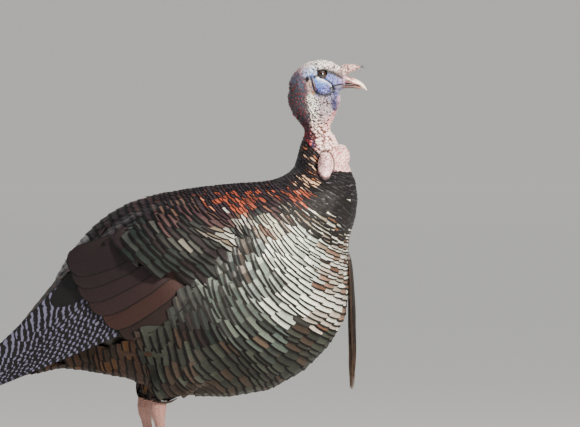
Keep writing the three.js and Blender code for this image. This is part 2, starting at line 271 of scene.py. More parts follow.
def map_points(obj, name, places):
    """A UV map with one place a vertex."""
    corners = np.empty(len(obj.data.loops), np.int32)
    obj.data.loops.foreach_get("vertex_index", corners)
    layer = obj.data.uv_layers.new(name=name)
    layer.data.foreach_set("uv", places[corners].astype(np.float32).ravel())


def finish_piece(obj, material, replaces=(), smooth_angle=None):
    """Gives a piece its material, shading and body, and hides the solids it replaces."""
    obj.data.materials.clear()
    obj.data.materials.append(material)
    activate(obj)
    if smooth_angle is None:
        bpy.ops.object.shade_smooth()
    else:
        bpy.ops.object.shade_smooth_by_angle(angle=math.radians(smooth_angle))
    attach(obj, "root")
    if replaces:
        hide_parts(*replaces)
    deselect()
    return obj


def edit_faces(obj, chosen, tool, **values):
    """Runs one tool of edit mode on the chosen faces."""
    activate(obj)
    mode("EDIT")
    bpy.ops.mesh.select_mode(type="FACE")
    bpy.ops.mesh.select_all(action="DESELECT")
    mode("OBJECT")
    obj.data.polygons.foreach_set("select", chosen)
    mode("EDIT")
    tool(**values)
    mode("OBJECT")


def away_from_line(places, line):
    """Distance of each place to a line of points, in the side view."""
    best = np.full(len(places), 1e9)
    for start, end in zip(line[:-1], line[1:]):
        start, end = np.array(start, float), np.array(end, float)
        run = end - start
        t = np.clip(((places - start) @ run) / (run @ run), 0, 1)
        best = np.minimum(best, np.linalg.norm(places - start - t[:, None] * run, axis=1))
    return best


def turned(places, centre, radii, turn):
    """Places in the frame of an oval that is turned by degrees, in radii."""
    angle = math.radians(turn)
    rel = places - np.array(centre)
    along = rel[:, 0] * math.cos(angle) + rel[:, 1] * math.sin(angle)
    over = -rel[:, 0] * math.sin(angle) + rel[:, 1] * math.cos(angle)
    return np.stack([along / radii[0], over / radii[1]], axis=1)


def oval(places, centre, radii, turn, power):
    """1 in the middle of a turned oval, falling to 0 outside; a high power gives a firm edge."""
    return np.exp(-(turned(places, centre, radii, turn) ** 2).sum(axis=1) ** power)


def tree_of(points, seeds):
    """A search tree of the seeds, each under its number."""
    tree = KDTree(len(seeds))
    for number, index in enumerate(seeds):
        tree.insert(points[index], number)
    tree.balance()
    return tree


KEPT = {}  # surfaces that later steps lay things on


class Hide:
    """A closed surface that things are laid on, in own millimetres."""

    def __init__(self, obj):
        self.points = points_of(obj)
        self.bends = normals_of(obj)
        faces = [tuple(p.vertices) for p in obj.data.polygons]
        self.tree = BVHTree.FromPolygons(self.points.tolist(), faces)
        self.faces = np.array([f if len(f) == 4 else (f + f[-1:])[:4] for f in faces])

    def nearest(self, points):
        """The closest places on the surface and its softened normals there."""
        places = np.empty((len(points), 3))
        faces = np.empty(len(points), int)
        find = self.tree.find_nearest
        for i, point in enumerate(np.asarray(points).tolist()):
            place, _, face, _ = find(point)
            places[i] = place
            faces[i] = face
        corners = self.faces[faces]
        gaps = np.linalg.norm(self.points[corners] - places[:, None], axis=2)
        weights = 1 / (gaps**2 + 0.5)
        return places, unit((self.bends[corners] * weights[..., None]).sum(axis=1))


# ---- skin

FLESH_NODES = (
    "head", "snood", "neck_upper", "neck_lower", "trunk", "wattle_right", "wattle_left",
    "wattle_front", "thigh_right", "thigh_left", "wing_coverts_right", "wing_coverts_left",
    "tail_underside",
)
COLLAR_X = (120, 150, 164, 177, 190, 204, 213, 240)  # where the feathers begin round the neck, and
COLLAR_Z = (589, 584, 572, 560, 541, 534, 532, 530)  # how high they reach there
LOBES = (((188, 35, 543), (11.5, 10.5, 17.8)), ((210.5, 0, 554.5), (15.5, 20.5, 18.5)))

# Bare skin in the side view: x, z, reach of the colour, bead, ground (the skin between the beads, its own
# colour darkened as painted shade in the gaps), bead spacing, height, fill.
SKIN_SPOTS = (
    (150, 691, 8, "#d9b9bb", "#786166", 3.2, 0.95, 0.8),
    (162, 696, 9, "#fff6f3", "#504547", 2.7, 0.92, 0.8),
    (175, 699, 9, "#fffdfa", "#544c4e", 2.7, 0.83, 0.8),
    (190, 697, 9, "#fff8f6", "#50474b", 2.7, 0.83, 0.8),
    (203, 691, 8, "#fdedec", "#4b4147", 2.6, 0.87, 0.8),
    (213, 685, 7, "#f6dbda", "#453336", 2.6, 0.98, 0.8),
    (226, 688, 9, "#eac4be", "#633e40", 2.6, 0.75, 0.75),
    (238, 690, 6, "#e4bcb5", "#563a38", 2.5, 0.45, 0.75),
    (143, 684, 7, "#7f2a30", "#515364", 3.4, 1.1, 0.45),
    (138, 672, 9, "#6f252c", "#43495c", 3.5, 1.1, 0.42),
    (160, 684, 6, "#a6bdef", "#323952", 2.6, 0.75, 0.8),
    (170, 687, 5, "#c2d3f9", "#384056", 2.6, 0.61, 0.8),
    (168, 677, 4, "#6682c2", "#485e97", 2.2, 0.12, 0.8),
    (171, 670, 4, "#6f92d8", "#4f70b0", 2.2, 0.12, 0.8),
    (178, 667, 5, "#7ea2e2", "#587ab8", 2.2, 0.12, 0.8),
    (187, 668, 4, "#7394da", "#4f6db0", 2.2, 0.12, 0.8),
    (194, 676, 5, "#6278c3", "#485998", 2.2, 0.12, 0.8),
    (200, 672, 5, "#7b8cca", "#586599", 2.2, 0.12, 0.8),
    (207, 668, 5, "#8a8fc4", "#6c6d9d", 2.2, 0.12, 0.8),
    (214, 672, 5, "#c7a4b0", "#7a657b", 2.4, 0.3, 0.8),
    (173, 662, 6, "#4f70c8", "#36519c", 2.2, 0.12, 0.8),
    (181, 657, 6, "#8995dc", "#27348a", 2.6, 0.25, 0.5),
    (190, 656, 5, "#9396cd", "#2f3577", 2.6, 0.25, 0.5),
    (196, 661, 5, "#7075b2", "#4c5281", 2.2, 0.12, 0.8),
    (178, 649, 4, "#42477c", "#282b4d", 2.2, 0.12, 0.8),
    (205, 656, 5, "#70729e", "#444567", 2.2, 0.12, 0.8),
    (162, 672, 3, "#4a4254", "#241e29", 2.6, 0.3, 0.8),
    (166, 664, 4, "#c8ae98", "#8d7669", 2.2, 0.12, 0.8),
    (169, 654, 4, "#c0a08d", "#836a61", 2.2, 0.12, 0.8),
    (136, 655, 10, "#6f1e24", "#2c323c", 3.7, 1.15, 0.5),
    (137, 640, 10, "#741f24", "#2e333e", 3.8, 1.15, 0.5),
    (142, 624, 10, "#701e22", "#2c323c", 3.8, 1.15, 0.5),
    (150, 608, 9, "#6e1d22", "#272c38", 3.7, 1.15, 0.5),
    (152, 664, 6, "#752830", "#3f495d", 3.5, 1.15, 0.5),
    (154, 648, 6, "#6b2931", "#333844", 3.6, 1.15, 0.5),
    (155, 630, 7, "#6d222a", "#2f3643", 3.6, 1.15, 0.5),
    (157, 612, 7, "#781e24", "#222838", 3.7, 1.15, 0.5),
    (159, 598, 6, "#881b20", "#161c2d", 4, 1.15, 0.5),
    (163, 585, 6, "#961a1d", "#111423", 4.4, 1.7, 0.5),
    (169, 571, 6, "#c42022", "#23254a", 6, 2.75, 0.55),
    (166, 643, 5, "#fffefa", "#34353c", 2.6, 1.59, 0.85),
    (168, 630, 6, "#fffffc", "#34373d", 2.8, 1.75, 0.85),
    (171, 617, 6, "#fff8f5", "#373339", 3, 1.75, 0.85),
    (172, 605, 6, "#fce7e4", "#3a2c30", 3.3, 1.91, 0.85),
    (183, 641, 7, "#c1b1be", "#282026", 2.5, 1.43, 0.85),
    (187, 627, 7, "#b6aab8", "#231e25", 2.5, 1.43, 0.85),
    (184, 614, 6, "#ceb4be", "#2d2024", 2.6, 1.43, 0.85),
    (195, 646, 5, "#8581ac", "#171626", 2.4, 1.28, 0.85),
    (200, 649, 4, "#41498c", "#10122c", 2.6, 0.99, 0.85),
    (201, 639, 4, "#2b3068", "#0d0f26", 3, 1, 0.85),
    (209, 641, 4, "#b79db2", "#43304e", 3, 1.2, 0.85),
    (203, 629, 4, "#3a3d6c", "#15162f", 3, 1, 0.85),
    (210, 630, 4, "#c59ca8", "#4f2f44", 3, 1.3, 0.85),
    (206, 619, 5, "#cf969b", "#663239", 3.6, 1.45, 0.85),
    (199, 609, 5, "#ecb4b5", "#3f1a1c", 2.6, 1.75, 0.85),
    (191, 602, 5, "#f1bebd", "#431b1c", 3, 1.91, 0.85),
    (178, 598, 6, "#fadedb", "#562b2c", 5, 2.75, 0.9),
    (178, 586, 7, "#fde7e3", "#592223", 5.4, 3.11, 0.9),
    (190, 587, 7, "#fadcd8", "#5a2022", 5, 2.94, 0.9),
    (179, 573, 7, "#fde8e3", "#572021", 5.6, 2.94, 0.9),
    (196, 573, 8, "#fadbd7", "#5d1e1e", 4.8, 2.56, 0.9),
    (206, 575, 7, "#f6cfcb", "#5e1c1d", 4.2, 2.2, 0.9),
    (188, 556, 6, "#fad5d4", "#5e282a", 4.6, 2.01, 0.9),
    (188, 540, 11, "#edc6ca", "#a07a7e", 2.8, 0.2, 0.9),
    (208, 560, 8, "#efd0ce", "#b06f70", 4.2, 0.35, 0.85),
    (213, 547, 9, "#f0d2d1", "#b06f70", 4.2, 0.35, 0.85),
)
BROW = ((176.5, 684.6), (183, 685.2), (189.5, 684.0), (198, 681.6), (205.4, 678.6), (213, 674.6))
CHEEK_BACK = ((165.5, 675), (167.5, 668), (170, 660), (173.5, 652.5))
CHEEK_FOLD = ((173.5, 652.5), (179, 648.5), (188, 647.0), (195, 649.5), (201, 655.5))
LORE_RIDGE = (
    (172.5, 675), (177.5, 671), (184, 669.2), (190, 668), (195, 664.4), (198.4, 658.5), (198.8, 651))
LORE_FOLD = ((187, 671), (192, 668.6), (197, 664.4), (200.4, 658.5), (201, 651.5))
GAPE = ((196, 656.5), (202, 660.2), (209, 662.0), (220, 662.6))
SNOOD_ROOT = ((209.5, 692.5), (210.5, 686), (212.5, 678.5))
EAR = (159.5, 671.0)
# The edge of the small feathers over the folded wing's quills: from the back to the wing's corner,
# and from there round to the flank
EDGE_BACK = ((-196, 452), (-160, 436), (-128, 412), (-96, 390), (-60, 376), (-20, 368), (2, 367))
EDGE_FLANK = ((2, 367), (-14, 358), (-31, 342), (-50, 312), (-70, 270))
WING_EDGE = EDGE_BACK + EDGE_FLANK[1:]


def beyond_edge(x, z):
    """1 on the quills' side of the wing's edge, in the side view."""
    back, flank = np.array(EDGE_BACK).T, np.array(EDGE_FLANK[::-1]).T
    beyond_back, beyond_flank = z < np.interp(x, *back), x < np.interp(z, flank[1], flank[0])
    return np.where(z > EDGE_BACK[-1][1], beyond_back, beyond_flank) * 1.0


def collar_mask(points):
    """1 where feathers grow and 0 on bare skin."""
    feathered = ease(np.interp(points[:, 0], COLLAR_X, COLLAR_Z) - points[:, 2], -2.5, 2.5)
    for centre, radii in LOBES:
        away = points - [centre[0], 0, centre[2]]
        away[:, 1] = np.abs(points[:, 1]) - centre[1]
        if centre[1]:  # the side lobes show all their outer faces
            away[:, 1] = np.minimum(away[:, 1], 0)
        feathered *= ease(np.linalg.norm(away / np.array(radii), axis=1), 1.0, 1.1)
    return feathered


def lobe_share(points, reach=1.08):
    """1 on the side lobes' outer faces, falling to 0 at their rims, and the way out to a rim."""
    centre, radii = LOBES[0]
    away = np.stack([points[:, 0] - centre[0], points[:, 2] - centre[2] - 1], axis=1)
    away = np.linalg.norm(away / [radii[0], radii[2]], axis=1)
    return np.sqrt(np.clip(1 - (away / reach) ** 2, 0, 1)) * ease(np.abs(points[:, 1]), 20, 27), away


def spot_weights(points):
    """Share of every skin spot at each point."""
    spots = np.array([spot[:3] for spot in SKIN_SPOTS], float)
    away = (points[:, None, 0] - spots[:, 0]) ** 2 + (points[:, None, 2] - spots[:, 1]) ** 2
    weights = np.exp(-away / spots[:, 2] ** 2) + 1e-4 / (1 + away)
    return weights / weights.sum(axis=1, keepdims=True)


def sow(points, spacing, rng):
    """Picks points at least the spacing apart, in random order."""
    cells, kept = {}, []
    size = float(spacing.max())
    keys = np.floor(points / size).astype(int)
    neighbours = [(i, j, k) for i in (-1, 0, 1) for j in (-1, 0, 1) for k in (-1, 0, 1)]
    rows = points.tolist()
    for index in rng.permutation(len(points)).tolist():
        x, y, z = rows[index]
        a, b, c = keys[index].tolist()
        least = spacing[index] ** 2
        if any(
            (x - rows[o][0]) ** 2 + (y - rows[o][1]) ** 2 + (z - rows[o][2]) ** 2 < least
            for i, j, k in neighbours
            for o in cells.get((a + i, b + j, c + k), ())
        ):
            continue
        cells.setdefault((a, b, c), []).append(index)
        kept.append(index)
    return np.array(kept)


def bead_field(points, rng, bead_scale):
    """Colour and height of the beaded skin at each point."""
    weights = spot_weights(points)
    beads = np.array([paint(spot[3]) for spot in SKIN_SPOTS])
    # the ground between the beads is the skin's colour darkened as painted shade in the gaps
    shaded_grounds = np.array([paint(spot[4]) for spot in SKIN_SPOTS])
    shape = np.array([spot[5:] for spot in SKIN_SPOTS], float)
    spacing, height, fill = (weights @ shape).T
    # beads sit in slanting rows, so they are sown on skin that is squeezed across the rows
    x, y, z = points.T
    slant = np.stack([(x * 0.93 - z * 0.36) * 0.78, y, (x * 0.36 + z * 0.93) * 1.12], axis=1)
    nape = 1 - ease(x, 152, 166)
    slant *= np.stack([1 - 0.3 * nape, 1 - 0.2 * nape, 1 + 0.25 * nape], axis=1)
    for axis, (a, b, c) in enumerate(((0.31, 0.43, 0.27), (0.37, 0.29, 0.33), (0.41, 0.23, 0.35))):
        broad, fine = np.sin(points @ (a, b, c) * 1.7 + axis), np.sin(points @ (b, -c, a) * 4.1)
        slant[:, axis] += 1.1 * broad + 0.6 * fine
    seeds = sow(slant, spacing * 0.94, rng)
    tree = tree_of(slant, seeds)
    first, second = np.empty(len(points)), np.empty(len(points))
    owner = np.empty(len(points), int)
    for i, place in enumerate(slant.tolist()):
        (_, owner[i], first[i]), (_, _, second[i]) = tree.find_n(place, 2)
    size = spacing[seeds][owner]
    inside = ease(fill * 0.62 - first / size, -0.14, 0.2)
    apart = ease((second - first) / size, 0.04, 0.42)
    dome = inside * apart * rng.uniform(0.45, 1.25, len(seeds))[owner]
    shade = rng.normal(1, 0.1, (len(seeds), 1))[owner]
    share = ease(dome, 0.12, 0.5)[:, None]
    bead = (weights @ beads) * np.clip(shade, 0.7, 1.25)
    return (weights @ shaded_grounds) * (1 - share) + bead * share, dome * height * bead_scale


def paint_over(colour, mask, code):
    """Lays a colour over others where the mask is 1."""
    mask = np.clip(mask, 0, 1)[:, None]
    return colour * (1 - mask) + np.array(paint(code)) * mask


def shape_face(points, normals, colour, height, eye_radius):
    """Folds, lids, brow, cheek and ear of the head. Returns moved points and colours."""
    side_view = points[:, [0, 2]]
    width = np.abs(points[:, 1])
    aside = ease(width, 4, 9) * ease(points[:, 2], 640, 646)
    lift = height.copy()

    def groove(line, wide, deep, code, dark_wide):
        """A fold where deep is above 0, and a ridge where it is below, with its colour painted along it:
        painted shade in a fold, painted highlight on the ridge under the eye.
        """
        nonlocal lift, colour
        away = away_from_line(side_view, line)
        near = np.exp(-((away / wide) ** 2)) * aside
        lift = lift * (1 - 0.7 * near) - near * deep
        colour = paint_over(colour, np.exp(-((away / dark_wide) ** 2)) * aside, code)

    def swell(centre, radii, turn, high):
        """A raised oval."""
        nonlocal lift
        lift += high * aside * oval(side_view, centre, radii, turn, 1.4)

    swell((193, 690), (21, 6), -15, 2.6)  # crown over the brow
    swell((181, 660), (12, 10), -22, 3.0)  # cheek
    swell((196, 672), (6.5, 6), 25, 1.5)  # lore
    swell((207, 669), (8, 5), -12, 0.9)  # root of the bill
    # the pale line on the ridge under the eye is a painted highlight
    groove(LORE_RIDGE, 1.2, -1.1, "#dfe8ff", 1.0)
    # the wrinkles' grooves are painted dark, a painted shade in the folds; their ridges get a lavender
    # line
    for step in range(6):  # wrinkles of the lore, towards the bill
        x = 192 + 3.7 * step
        line = ((x, 677 - 0.7 * step), (x + 1.8, 671), (x + 0.6, 665.5))
        groove(line, 0.9, -0.3, "#8088d2", 0.4)
        groove([(a + 1.7, b) for a, b in line[: 2 + step % 2]], 0.8, 0.8, "#2c2c66", 0.5)
    # the black line under the brow is a painted shadow cast by the crown over the eye
    groove(BROW, 2.7, 3.2, "#020204", 3.0)
    # the dark lines of the cheek, lore, mouth and snood's root are painted shade in their folds and in
    # the mouth's gap
    groove(CHEEK_BACK, 2.1, 2.4, "#0b0a16", 1.9)
    groove(CHEEK_FOLD, 2.6, 2.8, "#0a0916", 2.5)
    groove(LORE_FOLD, 1.5, 2.0, "#0d0c24", 1.5)
    groove(GAPE, 2.0, 2.4, "#040305", 2.0)
    groove(SNOOD_ROOT, 1.3, 2.0, "#1c0e14", 1.3)
    # the ear's hollow is painted dark, a painted shade in the recess
    hole = oval(side_view, EAR, (4.0, 2.9), 60, 2) * aside
    lift -= 3.0 * hole
    colour = paint_over(colour, hole * 1.1, "#0e0b10")

    moved = points + normals * lift[:, None]

    # the eye's opening, with a lid that lies on the eyeball round it
    radius = eye_radius * 1000
    for side in SIDES.values():
        centre = np.array([EYE["x"], side * EYE["out"], EYE["z"]])
        rel = moved - centre
        away = np.linalg.norm(rel, axis=1)
        near = (rel[:, 1] * side > -2) & (np.hypot(rel[:, 0], rel[:, 2]) < 13)
        spot = turned(side_view, (EYE["x"] + 0.2, EYE["z"] - 0.1), (7.2, 5.7), -10)
        opening = (np.abs(spot) ** 1.8).sum(axis=1) ** (1 / 1.8)
        rim = np.exp(-(((opening - 1.12) / 0.17) ** 2))
        want = radius + 0.3 + 0.7 * rim + 0.9 * rim * ease(spot[:, 1], -0.2, 0.6)
        hold = near * (1 - ease(opening, 1.3, 1.8))
        reach = away + (want - away) * hold
        reach = np.where(near & (opening < 1.0), radius - 1.6, reach)
        placed = centre + rel * (reach / np.maximum(away, 1e-6))[:, None]
        moved = np.where(near[:, None], placed, moved)
        corner = away_from_line(side_view, ((171.5, 674.6), (176.5, 677.5)))
        black = near * np.maximum(ease(1.5 - opening, 0, 0.12), ease(2.8 - corner, 0, 1.0))
        colour = paint_over(colour, black, "#020203")
    return moved, colour


SKIN_VOXEL = 1.7
LOBE_OUT = 8  # how far the side lobes hang clear of the neck
QUILL_ROOM = 12  # how far the skin is sunk below the wing's smooth quills
# near-black: a painted shade for the shadow the coat casts on the skin beneath it
UNDER_COAT_SHADE = "#17120f"  # skin under the feathers


def build_skin():
    """One skin over the head, neck, lobes, trunk, thighs and wing roots."""
    look = settings()
    skin = rounded_copy(FLESH_NODES, "skin", SKIN_VOXEL, 3, grow=0.4)
    feathered = collar_mask(points_of(skin))
    # finer where the skin is bare, coarser where feathers hide it
    bare = feathered < 0.9
    faces = np.array([bare[list(p.vertices)].any() for p in skin.data.polygons])
    edit_faces(skin, faces, bpy.ops.mesh.subdivide, number_cuts=1, smoothness=0.6)
    hidden = collar_mask(points_of(skin)) > 0.95
    faces = np.array([hidden[list(p.vertices)].all() for p in skin.data.polygons])
    edit_faces(skin, faces, bpy.ops.mesh.decimate, ratio=0.12)

    points, normals = points_of(skin), normals_of(skin)
    x, y, z = points.T  # parts of points, so a change to one moves the points
    feathered = collar_mask(points)
    hang, to_rim = lobe_share(points)
    y += np.sign(y) * hang * LOBE_OUT
    # a crease round each lobe's rim, painted dark as the shade in it
    shaded_crease = np.exp(-(((to_rim - 1.17) / 0.09) ** 2)) * ease(np.abs(y), 18, 26)
    rng = np.random.default_rng(11)
    colour = all_over(UNDER_COAT_SHADE, len(points))
    height = np.zeros(len(points))
    bare = np.flatnonzero(feathered < 0.98)
    tint, rise = bead_field(points[bare], rng, look.bead_height)
    colour[bare], height[bare] = tint, rise
    # feathered skin lies under the coat, less so where the feathers are small
    small = ease(z, 500, 575)
    depth = look.coat_depth * 1000 * (1 - 0.55 * small)
    height = height * (1 - feathered) - depth * feathered
    sunk = lobe_share(points, 1.7)[0] * (to_rim > 1.0) * feathered
    height = height * (1 - 0.8 * np.maximum(shaded_crease, hang > 0.3)) - 3.0 * shaded_crease - 5.0 * sunk
    colour = paint_over(colour, shaded_crease * 0.95, "#1c070a")
    under = (np.abs(y) > 95) * ease(x, -225, -210) * ease(z, 262, 275)
    under = under * beyond_edge(x, z)
    y -= np.sign(y) * under * QUILL_ROOM
    # thin rims of the wings go inwards as a whole, or their inner faces would come out
    side = np.where(y < 0, -1, 1)
    wing = (x < 60) & (z > 330) & (y * side > 72)
    normals[:, 1] = np.where(wing, side * np.maximum(normals[:, 1] * side, 0.55), normals[:, 1])
    normals = unit(normals)
    height = height * np.where(wing, 1 + 0.9 * ease(-x, -20, 40), 1)
    moved = points + normals * height[:, None]
    head = z > 636
    moved[head], colour[head] = shape_face(
        points[head], normals[head], colour[head], height[head], look.eye_radius)
    # where feathers grow the skin takes the near-black painted shade
    colour = paint_over(colour, feathered, UNDER_COAT_SHADE)
    move_points(skin, moved)
    colour_points(skin, colour)
    return finish_piece(skin, skin_material(), FLESH_NODES)


# ---- materials


class Nodes:
    """Short calls for building a node tree."""

    def __init__(self, tree):
        self.tree = tree
        tree.nodes.clear()

    def add(self, kind, **values):
        node = self.tree.nodes.new(kind)
        for key, value in values.items():
            setattr(node, key, value)
        return node

    def join(self, value, socket):
        """Links a socket, or sets a plain value."""
        if isinstance(value, bpy.types.NodeSocket):
            self.tree.links.new(value, socket)
        elif value is not None:
            socket.default_value = value

    def math(self, operation, a, b=None, clamp=False):
        node = self.add("ShaderNodeMath", operation=operation, use_clamp=clamp)
        for value, socket in zip((a, b), node.inputs):
            self.join(value, socket)
        return node.outputs[0]

    def plus(self, a, b):
        return self.math("ADD", a, b)

    def minus(self, a, b):
        return self.math("SUBTRACT", a, b)

    def times(self, a, b):
        return self.math("MULTIPLY", a, b)

    def span(self, value, low, high, to_low=0.0, to_high=1.0):
        node = self.add("ShaderNodeMapRange", interpolation_type="SMOOTHSTEP")
        self.join(value, node.inputs["Value"])
        limits = {"From Min": low, "From Max": high, "To Min": to_low, "To Max": to_high}
        for name, limit in limits.items():
            self.join(limit, node.inputs[name])
        return node.outputs["Result"]

    def mix(self, share, a, b):
        node = self.add("ShaderNodeMix", data_type="RGBA")
        self.join(share, node.inputs["Factor"])
        colours = [s for s in node.inputs if s.type == "RGBA"]
        for value, socket in zip((a, b), colours):
            if isinstance(value, tuple) and len(value) == 3:
                value = (*value, 1)
            self.join(value, socket)
        return [s for s in node.outputs if s.type == "RGBA"][0]

    def noise(self, scale, detail):
        node = self.add("ShaderNodeTexNoise")
        self.join(self.add("ShaderNodeTexCoord").outputs["Object"], node.inputs["Vector"])
        for name, value in (("Scale", scale), ("Detail", detail), ("Roughness", 0.55)):
            node.inputs[name].default_value = value
        return node.outputs["Fac"]

    def scaled(self, colour, gain):
        """A colour made brighter or darker."""
        node = self.add("ShaderNodeVectorMath", operation="SCALE")
        self.join(colour, node.inputs[0])
        self.join(gain, node.inputs["Scale"])
        return node.outputs[0]

    def split(self, kind, output, **values):
        """The x, y and z of a node's output."""
        node = self.add("ShaderNodeSeparateXYZ")
        self.join(self.add(kind, **values).outputs[output], node.inputs[0])
        return node.outputs

    def tint(self):
        """The colour and the band's share kept on a piece's points."""
        return self.add("ShaderNodeAttribute", attribute_name="Tint").outputs


def new_group(name, **inputs):
    """An empty shader group that gives a colour, a roughness and a height. Returns its nodes, what it
    is given and its end. An underscore in a name stands for a space."""
    tree = bpy.data.node_groups.new(name, "ShaderNodeTree")
    nodes = Nodes(tree)
    for socket, default in inputs.items():
        kind = "Color" if isinstance(default, tuple) else "Float"
        made = tree.interface.new_socket(
            name=socket.replace("_", " "), in_out="INPUT", socket_type="NodeSocket" + kind)
        made.default_value = (*default, 1) if kind == "Color" else default
    for socket, kind in (("Color", "Color"), ("Roughness", "Float"), ("Height", "Float")):
        tree.interface.new_socket(name=socket, in_out="OUTPUT", socket_type="NodeSocket" + kind)
    entry, end = nodes.add("NodeGroupInput"), nodes.add("NodeGroupOutput")
    return nodes, entry.outputs, end.inputs


def new_material(name, roughness, metallic=0.0, **sockets):
    """A material with a Principled surface. Returns the material, its nodes and the surface."""
    material = bpy.data.materials.new(name)
    material.use_nodes = True
    nodes = Nodes(material.node_tree)
    surface = nodes.add("ShaderNodeBsdfPrincipled")
    end = nodes.add("ShaderNodeOutputMaterial")
    material.node_tree.links.new(surface.outputs[0], end.inputs["Surface"])
    surface.inputs["Roughness"].default_value = roughness
    surface.inputs["Metallic"].default_value = metallic
    for key, value in sockets.items():
        surface.inputs[key.replace("_", " ")].default_value = value
    return material, nodes, surface


def place_group(nodes, tree, **values):
    """Puts a group in a material; an underscore in a value's name stands for a space."""
    node = nodes.add("ShaderNodeGroup", node_tree=tree)
    for key, value in values.items():
        if isinstance(value, tuple) and len(value) == 3:
            value = (*value, 1)
        nodes.join(value, node.inputs[key.replace("_", " ")])
    return node.outputs


def once(maker):
    """Keeps what a maker of a material or group returns, for each set of values."""
    kept = {}

    def call(*values):
        if values not in kept:
            kept[values] = maker(*values)
        return kept[values]

    return call


def dress(nodes, surface, group, grain, strength=0.6, colour=None):
    """Joins a group's colour, or the one given, its roughness and its relief to a surface."""
    nodes.join(group["Color"] if colour is None else colour, surface.inputs["Base Color"])
    nodes.join(group["Roughness"], surface.inputs["Roughness"])
    bump = nodes.add("ShaderNodeBump")
    bump.inputs["Strength"].default_value = strength
    bump.inputs["Distance"].default_value = grain
    nodes.join(group["Height"], bump.inputs["Height"])
    nodes.join(bump.outputs[0], surface.inputs["Normal"])


@once
def mottle_group():
    """Uneven colour and fine grain over a surface: skin, horn and scale."""
    nodes, given, end = new_group(
        "Living mottle", Color=(0.5, 0.5, 0.5), Amount=0.2, Scale=300.0, Roughness=0.5)
    place = nodes.add("ShaderNodeTexCoord").outputs["Object"]
    coarse = nodes.add("ShaderNodeTexNoise")
    fine = nodes.add("ShaderNodeTexNoise")
    for node, factor, detail in ((coarse, 0.35, 3.0), (fine, 4.0, 4.0)):
        nodes.join(place, node.inputs["Vector"])
        nodes.join(nodes.times(given["Scale"], factor), node.inputs["Scale"])
        node.inputs["Detail"].default_value = detail
    uneven = nodes.times(nodes.minus(coarse.outputs["Fac"], 0.5), given["Amount"])
    grain = nodes.times(nodes.minus(fine.outputs["Fac"], 0.5), given["Amount"])
    gain = nodes.plus(1.0, nodes.plus(nodes.times(uneven, 2.0), grain))
    nodes.join(nodes.scaled(given["Color"], gain), end["Color"])
    rough = nodes.math("ADD", given["Roughness"], nodes.times(uneven, 0.5), clamp=True)
    nodes.join(rough, end["Roughness"])
    nodes.join(fine.outputs["Fac"], end["Height"])
    return nodes.tree


@once
def vane_group():
    """The marks of one feather: dark tip and edges, bars, shaft and barbs, read from its own map.

    The map Vane runs 0 to 1 across the feather and, along it, in centimetres up from the tip."""
    nodes, given, end = new_group(
        "Feather marks", Plume=(0.3, 0.3, 0.3), Tip_band=0.25, Edge=0.03, Dark=(0.01, 0.01, 0.01),
        Pale=(0.6, 0.6, 0.6), Bronze=(0.1, 0.05, 0.03), Bronze_share=0.0, Bar_step=0.9, Bar_share=0.0,
        Barbs=26.0, Roughness=0.4)
    across, along, _ = nodes.split("ShaderNodeUVMap", 0, uv_map="Vane")
    off = nodes.math("ABSOLUTE", nodes.minus(across, 0.5))
    ragged = nodes.minus(nodes.noise(420.0, 2.0), 0.5)
    reach = nodes.plus(along, nodes.times(ragged, 0.1))
    tip = nodes.span(nodes.minus(reach, given["Tip band"]), -0.03, 0.035, 1.0, 0.0)
    side = nodes.plus(off, nodes.times(ragged, 0.03))
    edge = nodes.span(nodes.plus(side, given["Edge"]), 0.485, 0.515)
    dark = nodes.math("MAXIMUM", tip, edge)
    # bars cross the feather in shallow zigzags
    wave = nodes.plus(nodes.math("DIVIDE", reach, given["Bar step"]), nodes.times(off, 0.55))
    wobble = nodes.times(nodes.minus(nodes.noise(110.0, 3.0), 0.5), 1.1)
    phase = nodes.math("FRACT", nodes.plus(wave, wobble))
    centred = nodes.math("ABSOLUTE", nodes.minus(phase, 0.5))
    outside = nodes.minus(centred, nodes.times(given["Bar share"], 0.5))
    bar = nodes.span(outside, -0.05, 0.05, 1.0, 0.0)
    bar = nodes.times(bar, nodes.span(given["Bar share"], 0.0, 0.02))
    # the gloss of the vane shifts a little along it, and the shaft is a thin line
    tone = nodes.plus(0.86, nodes.times(nodes.noise(160.0, 3.0), 0.28))
    near_tip = nodes.span(nodes.minus(along, given["Tip band"]), 0.0, 0.5, 1.12, 0.94)
    shaft = nodes.span(off, 0.008, 0.02, 0.72, 1.0)
    gain = nodes.times(nodes.times(tone, near_tip), shaft)
    base = nodes.scaled(given["Plume"], gain)
    # in places the vane turns bronze next to the dark band
    patch = nodes.span(nodes.noise(34.0, 2.0), 0.54, 0.66)
    above = nodes.minus(along, nodes.times(given["Tip band"], 2.2))
    low = nodes.span(above, -0.1, 0.25, 1.0, 0.25)
    bronze = nodes.times(nodes.times(patch, low), given["Bronze share"])
    toned = nodes.mix(bronze, base, given["Bronze"])
    barred = nodes.mix(bar, toned, given["Pale"])
    nodes.join(nodes.mix(dark, barred, given["Dark"]), end["Color"])
    slant = nodes.plus(along, nodes.times(off, 1.6))
    barb = nodes.math("SINE", nodes.times(slant, nodes.times(given["Barbs"], 6.2832)))
    nodes.join(nodes.plus(given["Roughness"], nodes.times(dark, 0.12)), end["Roughness"])
    nodes.join(nodes.plus(nodes.times(barb, 0.5), nodes.times(ragged, 1.2)), end["Height"])
    return nodes.tree


def skin_material():
    """Living skin that lets a little light through; its colour comes from its points."""
    material, nodes, surface = new_material(
        "Bare skin", 0.46, Subsurface_Weight=0.12, Subsurface_Scale=0.003, Specular_IOR_Level=0.45)
    group = place_group(nodes, mottle_group(), Color=nodes.tint()["Color"], Amount=0.22, Scale=420.0,
                        Roughness=0.46)
    dress(nodes, surface, group, 0.0003, 0.5)
    return material


